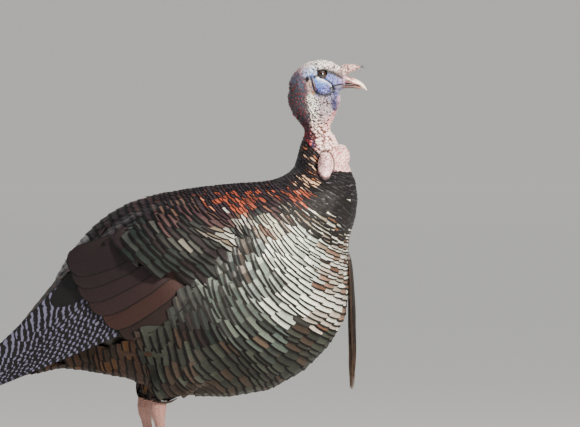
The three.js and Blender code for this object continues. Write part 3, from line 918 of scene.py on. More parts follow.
@once
def tinted_material(name, roughness, amount, scale, coat, grain):
    """Horn, scale or bristle: the colour comes from the piece's own points."""
    material, nodes, surface = new_material(name, roughness, Coat_Weight=coat, Coat_Roughness=0.25)
    group = place_group(nodes, mottle_group(), Color=nodes.tint()["Color"], Amount=amount, Scale=scale,
                        Roughness=roughness)
    dress(nodes, surface, group, grain)
    return material


@once
def plumage_material(name, roughness, metallic, specular, bronze):
    """Body feathers: bronze gloss with a dark band at each tip."""
    material, nodes, surface = new_material(name, roughness, metallic, Specular_IOR_Level=specular)
    tint = nodes.tint()
    group = place_group(nodes, vane_group(), Plume=tint["Color"], Tip_band=tint["Alpha"], Edge=0.008,
                        Dark=tuple(settings().tip_colour), Bronze=paint("#5c4134"),
                        Bronze_share=bronze, Barbs=20.0, Roughness=roughness)
    dress(nodes, surface, group, 0.00012)
    return material


@once
def flight_material(name, bar_share, bar_step, pale, metallic):
    """Wing feathers: bars across the vane, and a dark edge."""
    material, nodes, surface = new_material(name, 0.42, metallic, Specular_IOR_Level=0.25)
    tint = nodes.tint()
    group = place_group(nodes, vane_group(), Plume=tint["Color"], Tip_band=tint["Alpha"], Edge=0.03,
                        Dark=paint("#08070a"), Pale=paint(pale), Bar_step=bar_step,
                        Bar_share=bar_share, Barbs=12.0, Roughness=0.44)
    dress(nodes, surface, group, 0.00018)
    return material


def eye_material(side):
    """A dark pupil in a brown iris, under a wet gloss. Rings are round the eye's own axis."""
    material, nodes, surface = new_material("Eye " + side, 0.08, Coat_Weight=0.6, Coat_Roughness=0.02)
    centre = to_frame([EYE["x"] + 0.4, 0, EYE["z"] + 0.1])
    x, _, z = nodes.split("ShaderNodeTexCoord", "Object")
    dx, dz = nodes.minus(x, float(centre[0])), nodes.minus(z, float(centre[2]))
    away = nodes.math("SQRT", nodes.plus(nodes.times(dx, dx), nodes.times(dz, dz)))
    ring = nodes.times(1000.0, away)
    brown = tuple(settings().iris_colour)
    iris = nodes.mix(nodes.span(ring, 2.8, 5.0), tuple(c * 0.4 for c in brown), brown)
    iris = nodes.mix(nodes.times(nodes.noise(900.0, 3.0), 0.35), iris, paint("#54301c"))
    inner = nodes.mix(nodes.span(ring, 2.8, 3.1), paint("#030304"), iris)
    outer = nodes.mix(nodes.span(ring, 5.2, 5.8), inner, paint("#080607"))
    nodes.join(outer, surface.inputs["Base Color"])
    return material


def banded_material(name, bar_share, bar_step, band, tip, metallic):
    """Tail feathers: fine bars, a dark band and a tip of its own colour. Lengths in cm from the tip."""
    material, nodes, surface = new_material(name, 0.5, metallic, Specular_IOR_Level=0.15)
    group = place_group(nodes, vane_group(), Plume=nodes.tint()["Color"], Tip_band=-0.2, Edge=0.012,
                        Dark=paint("#0d0b0e"), Pale=paint("#6b4630"), Bar_step=bar_step,
                        Bar_share=bar_share, Barbs=12.0, Roughness=0.62)
    start, end = band
    place = nodes.split("ShaderNodeUVMap", 0, uv_map="Vane")
    along = nodes.plus(place[1], nodes.times(nodes.noise(300.0, 2.0), 0.12))
    dark = nodes.times(nodes.span(along, start - 0.1, start + 0.05),
                       nodes.span(along, end, end + 0.3, 1.0, 0.0))
    colour = nodes.mix(dark, group["Color"], paint("#0f0c0d"))
    colour = nodes.mix(nodes.span(along, start - 0.12, start, 1.0, 0.0), colour, paint(tip))
    dress(nodes, surface, group, 0.00015, colour=colour)
    return material


# ---- bill, eyes and small parts of the head


def build_bill():
    """The two halves of the bill, with the nostrils and the soft skin at the root."""
    for node, low in (("bill_upper", False), ("bill_lower", True)):
        piece = rounded_copy((node,), node + "_horn", 0.55, 3, grow=0.15)
        points, normals = points_of(piece), normals_of(piece)
        side_view = points[:, [0, 2]]
        x, y, z = points.T  # parts of points, so a change to one moves the points
        colour = all_over("#74474d", len(points))
        colour = paint_over(colour, ease(x, 224, 231), "#d08a83")
        colour = paint_over(colour, ease(x + 0.7 * (z - 664), 232, 242), "#f2e2cf")
        if not low:
            ridge = ease(z - np.interp(x, (212, 235, 250), (677, 668, 655)), -1, 2.5)
            colour = paint_over(colour, ridge * 0.45 * ease(232 - x, 0, 6), "#8d6f70")
            aside = ease(np.abs(y), 2.0, 4.0)
            flap = oval(side_view, (222, 671.8), (6.2, 1.9), -28, 1.5) * aside
            nostril = oval(side_view, (224.5, 668.2), (3.6, 1.0), -28, 2) * aside
            away = away_from_line(side_view, ((211, 676.5), (218, 674.6), (227, 670.6)))
            shaded_crease = np.exp(-((away / 0.8) ** 2)) * aside
            points += normals * (1.1 * flap - 1.6 * nostril - 0.5 * shaded_crease)[:, None]
            # the crease and the nostril are painted dark, a painted shade in the hollows
            colour = paint_over(colour, shaded_crease * 0.8, "#2c1a22")
            colour = paint_over(colour, flap, "#efcfc9")
            colour = paint_over(colour, nostril, "#1d1114")
            colour = paint_over(colour, ease(217 - x, -3, 3) * 0.7, "#a98aa6")
            # the lower edge is painted dark, a painted shade under the upper half
            edge = ease(666.2 - z - 0.12 * (x - 225), 0, 1.6)
            edge = edge * ease(244 - x, 0, 6)
            colour = paint_over(colour, edge * 0.9, "#2a1215")
        else:
            rise = ease(x, 203, 214) * ease(z, 655.5, 661)
            z += 0.9 * ease(x, 203, 214) + 1.1 * rise  # the bill is almost shut
            # the lower half is its own colour darkened in part as painted shade beneath the upper half
            colour = all_over("#4a2b2c", len(points))
            colour = paint_over(colour, ease(x, 230, 243), "#8f5f50")
            colour = paint_over(colour, ease(214 - x, -3, 5), "#57507c")
            # along its top the inside of the mouth is painted near-black as shade
            inner = ease(z - 661.6, 0, 0.9)
            colour = paint_over(colour, inner * 0.9, "#120607")
        move_points(piece, points)
        colour_points(piece, colour)
        horn = tinted_material("Horn of the bill", 0.34, 0.16, 260.0, 0.25, 0.00012)
        finish_piece(piece, horn, (node,))


def build_eyes():
    """Wet eyeballs that sit behind the lids."""
    radius = settings().eye_radius
    for name, side in SIDES.items():
        deselect()
        centre = to_frame([EYE["x"], side * EYE["out"], EYE["z"]])
        bpy.ops.mesh.primitive_uv_sphere_add(segments=56, ring_count=28, radius=radius, location=centre,
                                             rotation=(math.pi / 2, 0, 0))
        ball = bpy.context.active_object
        ball.name = ball.data.name = "eyeball_" + name
        bpy.ops.object.transform_apply(location=True, rotation=True, scale=True)
        places = points_of(ball)
        out = (places[:, 1] * side - EYE["out"]) / (radius * 1000)
        places[:, 1] += side * 0.7 * ease(out, 0.78, 1.0)  # the clear front bulges over the iris
        move_points(ball, places)
        finish_piece(ball, eye_material(name), ("eye_" + name,))


ROD_SIDES = 4


def strand_mesh(name, lines, radii):
    """Tapered rods along lines of points: lines is strands x steps x 3, radii is strands x steps."""
    count, steps, _ = lines.shape
    run = unit(np.gradient(lines, axis=1))
    helper = np.where(np.abs(run[..., 2:3]) > 0.9, [[[1.0, 0, 0]]], [[[0.0, 0, 1]]])
    over = unit(np.cross(run, helper))
    other = np.cross(run, over)
    turn = 2 * math.pi * np.arange(ROD_SIDES) / ROD_SIDES
    ring = over[:, :, None] * np.cos(turn)[:, None] + other[:, :, None] * np.sin(turn)[:, None]
    points = (lines[:, :, None] + ring * radii[:, :, None, None]).reshape(-1, 3)
    index = np.arange(count * steps * ROD_SIDES).reshape(count, steps, ROD_SIDES)
    here, after = index[:, :-1], index[:, 1:]
    quads = np.stack([here, np.roll(here, -1, 2), np.roll(after, -1, 2), after], -1).reshape(-1, 4)
    return mesh_from(name, points, np.concatenate([quads, index[:, 0, ::-1], index[:, -1]]))


def rod_patches(count, steps, rng):
    """Patches for rods: each rod gets a small patch of its own."""
    places = np.zeros((count, steps, ROD_SIDES, 2)) + each(rng.uniform(0.02, 0.98, (count, 2)))
    places[..., 1] += np.linspace(0, 0.003, steps)[None, :, None]
    places[..., 0] += np.linspace(0, 0.002, ROD_SIDES)
    return places.reshape(-1, 2)


EAR_HAIRS, NAPE_HAIRS, SNOOD_HAIRS = 46, 70, 14


def build_bristles(hide):
    """Stiff hairs over the ears, on the crown and nape, and at the snood's tip."""
    rng = np.random.default_rng(5)
    starts, lies, lengths = [], [], []

    def sprout(start, lie, length):
        starts.append(start)
        lies.append(lie)
        lengths.append(length)

    for side in SIDES.values():
        for _ in range(EAR_HAIRS):
            t = rng.uniform()
            x, z = 165.0 + 5.5 * t + rng.normal(0, 1.7), 671.0 - 21 * t + rng.normal(0, 1.0)
            sprout((x, side * 24, z), (0.28, 0, -1), rng.uniform(5, 9))
        for _ in range(NAPE_HAIRS):
            x, z = rng.uniform(134, 160), rng.uniform(600, 690)
            sprout((x, side * 24, z), (-0.25, 0, -1), rng.uniform(2, 4.5))
    for _ in range(SNOOD_HAIRS):
        sprout((240 + rng.normal(0, 0.6), rng.normal(0, 0.8), 690 + rng.normal(0, 0.8)),
               (1, rng.normal(0, 0.25), 0.1 + rng.normal(0, 0.25)), rng.uniform(3, 8))
    roots, normals = hide.nearest(np.array(starts))
    lies = unit(np.array(lies, float))
    flat = unit(lies - normals * (lies * normals).sum(axis=1, keepdims=True) * 0.85)
    steps = np.linspace(0, 1, 6)
    lift = (0.1 + 0.9 * np.sin(steps * 1.9))[None, :, None] * 0.8
    lines = roots[:, None] + flat[:, None] * steps[None, :, None] * each(lengths)
    lines = lines + normals[:, None] * lift
    radii = 0.3 * (1 - 0.8 * steps)[None] * rng.uniform(0.6, 1.1, (len(roots), 1))
    piece = strand_mesh("head_bristles", lines, radii)
    shades = [paint(code) for code in ("#c9a47c", "#8a5a3c", "#d8bd98", "#3a2a24")]
    chosen = [shades[rng.choice(4, p=(0.35, 0.25, 0.25, 0.15))] for _ in range(2 * EAR_HAIRS)]
    ear = np.arange(len(roots)) % (EAR_HAIRS + NAPE_HAIRS) < EAR_HAIRS
    ear[2 * (EAR_HAIRS + NAPE_HAIRS) :] = False
    colours = all_over("#1c1618", len(roots))
    colours[ear] = chosen
    colour_points(piece, np.repeat(colours, len(steps) * ROD_SIDES, axis=0))
    map_points(piece, "OFBake", rod_patches(len(roots), len(steps), rng))
    finish_piece(piece, tinted_material("Bristle", 0.55, 0.1, 300.0, 0.0, 0.00002))


# ---- the lie of the feathers

# Side of the bird: x, z, slope of the feather rows (degrees down, going forwards), row spacing,
# feather width, palette. Feathers point across the rows, backwards and down.
LIE_SIDE = (
    (75, 411, 78, 8.5, 36, "slate"),
    (66, 436, 76, 7.5, 30, "shade"),
    (48, 406, 84, 8.5, 34, "shade"),
    (100, 448, 58, 6.2, 30, "bronze"),
    (91.5, 369, 60, 9.3, 42, "slate"),
    (129, 336, 42, 8.8, 42, "gleam"),
    (181.5, 315, 30, 8.2, 38, "front"),
    (106.5, 417, 60, 7.4, 38, "gleam"),
    (150, 384, 40, 7.6, 38, "gleam"),
    (193.5, 366, 24, 6.6, 30, "front"),
    (139.5, 444, 50, 6.3, 32, "gleam"),
    (171, 417, 35, 6.2, 30, "gleam"),
    (204, 400.5, 22, 5.6, 24, "front"),
    (129, 465, 55, 6, 28, "collar"),
    (160.5, 454.5, 42, 6.3, 30, "collar"),
    (193.5, 439.5, 35, 5.8, 26, "collar"),
    (181.5, 486, 28, 6.2, 26, "bib"),
    (214.5, 465, 45, 5.4, 20, "bib"),
    (202.5, 505.5, 30, 5.4, 20, "bib"),
    (187.5, 520.5, 30, 5, 18, "bib"),
    (21, 369, 85, 10.5, 40, "flank"),
    (31.5, 325.5, 70, 10.5, 42, "flank"),
    (64.5, 304.5, 52, 10, 42, "flank"),
    (102, 280.5, 40, 9.5, 40, "flank"),
    (150, 273, 32, 9, 36, "belly"),
    (-15, 318, 80, 11.5, 40, "greater"),
    (60, 247.5, 50, 11, 38, "belly"),
    (7.5, 243, 66, 11, 38, "belly"),
    (-60, 273, 80, 12, 40, "belly"),
    (165, 562.5, 42, 4.4, 12, "hackle"),
    (165, 543, 36, 4.8, 13, "hackle"),
    (169.5, 523.5, 26, 5, 14, "hackle"),
    (150, 543, 55, 4.4, 12, "mantle"),
    (150, 517.5, 45, 5, 14, "hackle"),
    (135, 498, 45, 5.2, 15, "copper"),
    (108, 480, 35, 8, 24, "scapular"),
    (82.5, 498, 45, 5, 14, "copper"),
    (60, 483, 50, 5, 14, "copper"),
    (127.5, 516, 40, 4.5, 13, "mantle"),
    (75, 510, 45, 4.5, 13, "mantle"),
    (30, 508.5, 50, 4.8, 14, "mantle"),
    (30, 495, 50, 5, 14, "copper"),
    (0, 502.5, 50, 5.2, 15, "mantle"),
    (0, 483, 52, 5.8, 16, "copper"),
    (-30, 501, 55, 7.5, 22, "rump"),
    (27, 462, 34, 8, 26, "scapular"),
    (40.5, 463.5, 48, 6.5, 20, "scapular"),
    (55.5, 459, 60, 5, 15, "glint"),
    (7.5, 468, 48, 11, 36, "scapular"),
    (-15, 483, 58, 12, 38, "scapular"),
    (-37.5, 483, 68, 12.5, 40, "scapular"),
    (-60, 475.5, 72, 12.5, 40, "scapular"),
    (-82.5, 471, 65, 13, 38, "rump"),
    (-45, 457.5, 58, 10, 38, "scapular"),
    (-25.5, 448.5, 46, 7.5, 36, "covert"),
    (0, 444, 34, 6.2, 34, "covert"),
    (28, 440, 16, 4.4, 26, "glint"),
    (37.5, 432, 26, 4.4, 24, "glint"),
    (22.5, 421, 42, 5.6, 26, "covert"),
    (0, 430.5, 46, 5.8, 34, "covert"),
    (7.5, 412.5, 42, 7, 36, "covert"),
    (-21, 430.5, 48, 6, 36, "covert"),
    (-45, 430.5, 50, 6.5, 36, "covert"),
    (-67.5, 438, 56, 8, 36, "covert"),
    (-75, 420, 48, 9, 38, "greater"),
    (-97.5, 442.5, 55, 12, 32, "greater"),
    (-37.5, 403.5, 40, 9, 40, "greater"),
    (-15, 393, 42, 10, 40, "greater"),
    (4.5, 393, 40, 9, 38, "greater"),
    (-75, 397.5, 45, 12, 34, "greater"),
    (-105, 415.5, 50, 13, 34, "greater"),
    (-123, 448.5, 58, 14, 36, "rump"),
    (-162, 423, 52, 14, 36, "rump"),
    (-12, 214, 20, 7, 20, "thigh"),
    (8, 240, 30, 9, 26, "belly"),
    (-150, 330, 75, 12, 34, "vent"),
    (-200, 290, 70, 12, 34, "vent"),
    (-262, 255, 60, 11, 30, "vent"),
    (-130, 250, 85, 12, 34, "vent"),
    (-30, 250, 80, 12, 38, "belly"),
)
# Along the midline, above and below: x, z, way a feather points in the side view, and as above.
LIE_MIDDLE = (
    (150, 585, -0.45, -0.9, 4.5, 12, "mantle"),
    (144, 555, -0.35, -0.95, 4.8, 12, "mantle"),
    (135, 532, -0.6, -0.8, 5, 13, "mantle"),
    (110, 521, -1, -0.15, 5, 14, "mantle"),
    (60, 516, -1, 0, 5.2, 15, "mantle"),
    (0, 510, -1, -0.05, 6, 16, "mantle"),
    (-60, 500, -1, -0.1, 8, 22, "rump"),
    (-120, 478, -0.95, -0.35, 11, 28, "rump"),
    (-170, 440, -0.75, -0.65, 13, 32, "rump"),
    (-205, 400, -0.7, -0.72, 14, 36, "rump"),
    (226, 535, 0.2, -1, 5, 16, "bib"),
    (235, 505, 0, -1, 6, 20, "bib"),
    (233, 465, -0.1, -1, 6.5, 22, "bib"),
    (224, 425, 0, -1, 7, 22, "front"),
    (222, 370, 0, -1, 8, 24, "front"),
    (219, 315, -0.2, -1, 9, 28, "front"),
    (190, 265, -0.6, -0.8, 10, 30, "belly"),
    (130, 215, -0.9, -0.4, 12, 34, "belly"),
    (60, 197, -1, -0.1, 13, 36, "belly"),
    (-20, 198, -1, 0.05, 13, 36, "belly"),
    (-100, 217, -1, 0.1, 13, 34, "vent"),
    (-160, 232, -1, 0, 13, 34, "vent"),
    (-230, 236, -1, -0.05, 12, 32, "vent"),
    (-290, 228, -1, 0, 11, 28, "vent"),
)
# Share, colour and dark tip band (a share of the row spacing) of the feathers in each palette.
PALETTES = {
    "slate": ((0.4, "#66726f", 0.38), (0.3, "#7f8d86", 0.36), (0.24, "#4b5653", 0.4),
              (0.06, "#6c5f55", 0.38)),
    # gleam: the breast's green-grey lightened towards white, a painted highlight of its sheen
    "gleam": ((0.46, "#cbd8cf", 0.38), (0.3, "#aebdb4", 0.38), (0.2, "#e4e9e1", 0.36),
              (0.04, "#8f8271", 0.4)),
    "front": ((0.44, "#d6d9d0", 0.36), (0.28, "#aba398", 0.38), (0.18, "#84695a", 0.4),
              (0.1, "#5f4538", 0.42)),
    "collar": ((0.36, "#bfc2b3", 0.68), (0.26, "#8b8272", 0.7), (0.28, "#d0d2c4", 0.66),
               (0.1, "#6d4f3d", 0.7)),
    "bib": ((0.6, "#2b2a2f", 0.74), (0.25, "#55545a", 0.8), (0.15, "#1a181b", 0.5)),
    "shade": ((0.5, "#363d3d", 0.4), (0.25, "#4c4641", 0.4), (0.25, "#272b2b", 0.4)),
    "bronze": ((0.4, "#8e8578", 0.34), (0.3, "#6a4e40", 0.36), (0.3, "#b3b6a6", 0.32)),
    "flank": ((0.45, "#46514d", 0.36), (0.3, "#5b665f", 0.34), (0.2, "#2f3533", 0.38),
              (0.05, "#4d433a", 0.36)),
    "belly": ((0.5, "#292c29", 0.32), (0.35, "#353934", 0.32), (0.15, "#372f29", 0.32)),
    "thigh": ((0.6, "#2a2421", 0.2), (0.4, "#3a302a", 0.2)),
    "vent": ((0.4, "#38271e", 0.3), (0.4, "#291f1a", 0.3), (0.2, "#48321f", 0.24)),
    "hackle": ((0.5, "#2b2326", 0.5), (0.26, "#c4a184", 0.5), (0.12, "#9a5f3e", 0.5),
               (0.12, "#5e4c45", 0.6)),
    "mantle": ((0.6, "#262026", 0.46), (0.3, "#342b31", 0.44), (0.1, "#4e2c27", 0.4)),
    "copper": ((0.26, "#a04e38", 0.32), (0.2, "#763c2d", 0.34), (0.46, "#352b31", 0.4),
               (0.08, "#b0735a", 0.3)),
    "scapular": ((0.55, "#3a292f", 0.46), (0.32, "#4a3738", 0.44), (0.1, "#584339", 0.42),
                 (0.03, "#8a5a46", 0.38)),
    "rump": ((0.55, "#1f161b", 0.34), (0.3, "#291c20", 0.32), (0.15, "#33211f", 0.3)),
    # glint: pale greys that stand for glints of light by the wing's corner, a painted highlight
    "glint": ((0.4, "#bcbdb7", 0.44), (0.38, "#858680", 0.46), (0.22, "#655c50", 0.46)),
    "covert": ((0.42, "#2a2d2c", 0.46), (0.28, "#434542", 0.46), (0.22, "#272325", 0.46),
               (0.08, "#6a675f", 0.44)),
    "greater": ((0.6, "#202726", 0.42), (0.25, "#2e3231", 0.42), (0.15, "#1f1a1c", 0.42)),
}


class Lie:
    """Which way feathers point, and their size and colour, anywhere on the body."""

    def __init__(self, hide):
        spots, ways, sizes, self.names = [], [], [], []
        for x, z, slope, spacing, width, name in LIE_SIDE:
            hit = hide.tree.ray_cast(Vector((x, 400, z)), Vector((0, -1, 0)))[0]
            spots.append(tuple(hit or hide.tree.find_nearest(Vector((x, 60, z)))[0]))
            down = math.radians(slope)
            ways.append((-math.sin(down), 0, -math.cos(down)))
            sizes.append((spacing, width))
            self.names.append(name)
        for x, z, dx, dz, spacing, width, name in LIE_MIDDLE:
            spots.append(tuple(hide.tree.find_nearest(Vector((x, 0, z)))[0]))
            ways.append((dx, 0, dz))
            sizes.append((spacing, width))
            self.names.append(name)
        self.spots, self.ways, self.sizes = np.array(spots), unit(np.array(ways, float)), np.array(sizes)

    def shares(self, points):
        """How much each spot of the tables counts at each point."""
        folded = points * [1, 0, 1]
        folded[:, 1] = np.abs(points[:, 1])
        away = ((folded[:, None] - self.spots) ** 2).sum(axis=2)
        shares = 1 / (away + 90.0) ** 2
        return shares / shares.sum(axis=1, keepdims=True)

    def at(self, points, normals):
        """Way of the feathers, row spacing and feather width."""
        shares = self.shares(points)
        ways = shares @ self.ways
        ways = along_surface(ways, normals)
        spacing, width = (shares @ self.sizes).T
        return ways, spacing, width

    def colours(self, points, rng):
        """A random palette entry near each point: colour and band share."""
        shares = self.shares(points) ** 2.6
        shares = np.cumsum(shares / shares.sum(axis=1, keepdims=True), axis=1)
        owner = (rng.uniform(size=(len(points), 1)) > shares).sum(axis=1).clip(0, len(self.names) - 1)
        out = np.empty((len(points), 4))
        for i, number in enumerate(owner):
            entries = PALETTES[self.names[number]]
            pick = int(np.searchsorted(np.cumsum([e[0] for e in entries]), rng.uniform()))
            _, code, band = entries[min(pick, len(entries) - 1)]
            out[i] = (*paint(code), band)
        return out


class Rows:
    """Evenly spaced lines across the lie, on which the feathers' tips stand."""

    STEP = 4.0
    CELL = 9.0
    LONGEST = 260  # steps each way

    def __init__(self, hide, lie, inside, stretch=1.0):
        self.hide, self.lie, self.inside, self.stretch = hide, lie, inside, stretch
        self.cells, self.lines = {}, []

    def look_up(self, point):
        """The surface next to a point: place, normal, way, spacing, width."""
        place, normal = self.hide.nearest(point[None])
        way, spacing, width = self.lie.at(place, normal)
        return place[0], normal[0], way[0], spacing[0] * self.stretch, width[0]

    def crowded(self, point, limit, line, order):
        """True if a kept point is nearer than the limit, apart from the line's own last steps."""
        a, b, c = (int(math.floor(v / self.CELL)) for v in point)
        span = 1 if limit <= self.CELL else 2
        x, y, z = point
        for i in range(a - span, a + span + 1):
            for j in range(b - span, b + span + 1):
                for k in range(c - span, c + span + 1):
                    for (u, v, w, other, number) in self.cells.get((i, j, k), ()):
                        if other == line and abs(number - order) * self.STEP < limit * 1.8:
                            continue
                        if (u - x) ** 2 + (v - y) ** 2 + (w - z) ** 2 < limit * limit:
                            return True
        return False

    def keep(self, point, line, order):
        key = tuple(int(math.floor(v / self.CELL)) for v in point)
        self.cells.setdefault(key, []).append((*point, line, order))

    def trace(self, start):
        """Runs one line both ways from its start, or returns None where there is no room."""
        number = len(self.lines)
        place, normal, way, spacing, width = self.look_up(start)
        if not self.inside(place) or self.crowded(place.tolist(), spacing * 0.86, number, 0):
            return None
        line = {0: (place, normal, way, spacing, width)}
        self.keep(place.tolist(), number, 0)
        for sign in (1, -1):
            here, order = line[0], 0
            for _ in range(self.LONGEST):
                heading = np.cross(here[1], here[2]) * sign
                ahead = self.look_up(here[0] + heading * self.STEP)
                order += sign
                if np.linalg.norm(ahead[0] - here[0]) < 0.4 * self.STEP or not self.inside(ahead[0]):
                    break
                if self.crowded(ahead[0].tolist(), ahead[3] * 0.56, number, order):
                    break
                self.keep(ahead[0].tolist(), number, order)
                line[order] = here = ahead
        self.lines.append([line[k] for k in sorted(line)])
        return self.lines[-1]

    def fill(self, starts):
        """Lays line after line on both sides of those from the starts, until there is no room."""
        queue = [line for start in starts if (line := self.trace(np.array(start, float)))]
        while queue:
            line = queue.pop(0)
            for place, _, way, spacing, _ in line[::2]:
                for sign in (1, -1):
                    new = self.trace(place + way * spacing * sign)
                    if new:
                        queue.append(new)
        return self

    def tips(self, rng, share=0.78):
        """Places for feather tips: position, normal, way, spacing, width."""
        out = []
        for line in self.lines:
            if len(line) < 3:
                continue
            run = 0.0
            goal = rng.uniform(0.1, 0.9) * line[0][4] * share * 0.5
            for here, after in zip(line[:-1], line[1:]):
                gap = float(np.linalg.norm(after[0] - here[0]))
                while run + gap >= goal:
                    t = (goal - run) / max(gap, 1e-6)
                    out.append([(1 - t) * a + t * b for a, b in zip(here, after)])
                    goal += out[-1][4] * share * rng.uniform(0.88, 1.12)
                run += gap
        position, normal, way = (np.array([row[k] for row in out]) for k in range(3))
        spacing, width = (np.array([row[k] for row in out]) for k in (3, 4))
        normal = unit(normal)
        return position, normal, along_surface(way, normal), spacing, width


# ---- feathers

BODY_ROWS = (0.0, 0.36, 0.64, 0.82, 0.92, 0.975, 1.0)
QUILL_ROWS = (0.0, 0.2, 0.4, 0.6, 0.75, 0.87, 0.95, 1.0)
COLUMNS = (-1.0, -0.78, -0.4, 0.0, 0.4, 0.78, 1.0)


def grid_of(rows, columns=COLUMNS):
    """Shares along and across a feather, to work with each feather's values."""
    return np.array(rows)[None, :, None], np.array(columns)[None, None, :]


def vane_marks(length, back, v, u):
    """The map Vane: across the feather, and centimetres up from its tip."""
    return np.stack([0.5 + 0.5 * u + 0 * back, length * (1 - v) / 10 + 0 * back], axis=-1)


def vane_grid(tips, normals, ways, length, width, square, rows, columns):
    """Flat feathers: points are feathers x rows x columns x 3, with the map Vane."""
    v, u = grid_of(rows, columns)
    broad = 0.42 + 0.58 * ease(v, 0, 0.55) - 0.1 * ease(v, 0.86, 1.0)
    length, width = each(length), each(width)
    back = length * (1 - v) + each(square) * width * np.abs(u) ** 2.6 * v**3
    over = width / 2 * u * broad
    flat = each(tips) - each(ways) * back[..., None] + each(np.cross(normals, ways)) * over[..., None]
    return flat, vane_marks(length, back, v, u)


def vane_faces(rows, columns):
    """Faces of one closed vane: the top grid, the same grid below it and the rim."""
    top = np.arange(rows * columns).reshape(rows, columns)
    low = top + rows * columns
    upper = np.stack([top[:-1, :-1], top[:-1, 1:], top[1:, 1:], top[1:, :-1]], -1).reshape(-1, 4)
    lower = np.stack([low[:-1, :-1], low[1:, :-1], low[1:, 1:], low[:-1, 1:]], -1).reshape(-1, 4)
    rim = np.concatenate([top[0, :-1], top[:-1, -1], top[-1, :0:-1], top[:0:-1, 0]])
    under = rim + rows * columns
    sides = np.stack([rim, under, np.roll(under, -1), np.roll(rim, -1)], -1)
    return np.concatenate([upper, lower, sides])


def vane_piece(name, top, normals, thick, marks, tint, patches, material, replaces=()):
    """One mesh of many closed vanes. top and normals are feathers x rows x columns x 3."""
    count, rows, columns, _ = top.shape
    below = top - normals * thick
    points = np.concatenate([top.reshape(count, -1, 3), below.reshape(count, -1, 3)], axis=1)
    faces = vane_faces(rows, columns)
    probe = top[0, 1, 0], top[0, 1, 1], top[0, 2, 1]
    if np.dot(np.cross(probe[1] - probe[0], probe[2] - probe[0]), normals[0, 1, 1]) < 0:
        faces = faces[:, ::-1]
    quads = (faces[None] + each(np.arange(count) * rows * columns * 2)).reshape(-1, 4)
    piece = mesh_from(name, points.reshape(-1, 3), quads)
    for label, grid in (("Vane", marks), ("OFBake", patches)):  # the same below as on top
        map_points(piece, label, np.tile(grid.reshape(count, -1, 2), (1, 2, 1)).reshape(-1, 2))
    piece.data.uv_layers.active = piece.data.uv_layers["Vane"]
    colour_points(piece, np.repeat(tint, rows * columns * 2, axis=0))
    return finish_piece(piece, material, replaces, smooth_angle=42)


PATCH = 0.0032
AXIS_X = (-430, -150, -60, 60, 140, 165, 172, 190)  # the body's axis in the side view
AXIS_Z = (120, 330, 350, 350, 420, 560, 620, 680)


def coat_patches(roots, rows, columns):
    """Each feather's patch at its root's place: round the body's axis, and along it."""
    x, y, z = roots.T
    middle = np.interp(x, AXIS_X, AXIS_Z)
    round_way = np.arctan2(y, z - middle) / (2 * math.pi) + 0.5
    along = (x + 440) / 700 * 0.8 + np.clip(z - 520, 0, 180) / 180 * 0.18
    patches = np.empty((len(roots), rows, columns, 2))
    patches[..., 0] = each(0.01 + 0.975 * round_way) + np.linspace(0, PATCH, columns)
    patches[..., 1] = each(0.01 + 0.97 * along) + np.linspace(0, PATCH, rows)[:, None]
    return patches


def lay_vanes(hide, tips, normals, ways, length, width, square, depth, roll, rng, rows=BODY_ROWS,
              columns=COLUMNS, top=0.4, camber=0.03):
    """Feathers draped on a surface: the root lies depth under it and the tip stands on it."""
    flat, marks = vane_grid(tips, normals, ways, length, width, square, rows, columns)
    lifted = flat + each(normals) * 2.0
    places, bends = hide.nearest(lifted.reshape(-1, 3))
    places, bends = places.reshape(flat.shape), bends.reshape(flat.shape)
    v, u = grid_of(rows, columns)
    high = top - each(depth) * (1 - v)
    high = high + camber * each(width) * (1 - u**2) * v - 0.2 * np.abs(u) ** 3 * v
    high = high + each(roll) * u * (0.3 + 0.7 * v) + rng.normal(0, 0.12, (len(flat), 1, 1))
    return places + bends * high[..., None], bends, marks


def covered(points):
    """True where the long quills of a folded wing lie outside the place."""
    out = np.zeros(len(points), bool)
    edge = np.array(EDGE_BACK).T
    for i, (x, y, z) in enumerate(points.tolist()):
        if x > edge[0, 0] and z > np.interp(x, *edge) - 4:
            continue
        way = Vector((0, math.copysign(1, y), 0))
        shell = KEPT["wing_primaries_" + ("right" if y < 0 else "left")]
        out[i] = shell.tree.ray_cast(Vector((x, y, z)) - way * 2.0, way, 90.0)[0] is not None
    return out


def over_quills(x, y, z):
    """True where the smooth inner quills stay in sight."""
    if abs(y) < 50 or not -215 < x < 2 or z < 270:
        return False
    shell = KEPT["wing_tertials_" + ("right" if y < 0 else "left")]
    start, way = Vector((x, math.copysign(400, y), z)), Vector((0, -math.copysign(1, y), 0))
    return shell.tree.ray_cast(start, way)[0] is not None and bool(beyond_edge(x, z))


def form():
    """The bird's outer form without its bare parts, which the body feathers are laid on."""
    if "form" not in KEPT:
        bare = ("head", "snood", "wattle_right", "wattle_left", "wattle_front")
        nodes = [node for node in FLESH_NODES if node not in bare]
        nodes += ["wing_tertials_right", "wing_tertials_left"]
        # grown before and shrunk after, so that gaps between the solids close
        shape = rounded_copy(nodes, "form", 3.4, 9, grow=3.0)
        apply_modifier(shape, "DISPLACE", strength=-0.0026, mid_level=0)
        KEPT["form"] = Hide(shape)
        bpy.data.objects.remove(shape, do_unlink=True)
        KEPT["lie"] = Lie(KEPT["form"])
        for node in (f"wing_{part}_{name}" for part in ("tertials", "primaries") for name in SIDES):
            copy = copy_nodes((node,), "shell")
            KEPT[node] = Hide(copy)
            bpy.data.objects.remove(copy, do_unlink=True)
    return KEPT["form"], KEPT["lie"]


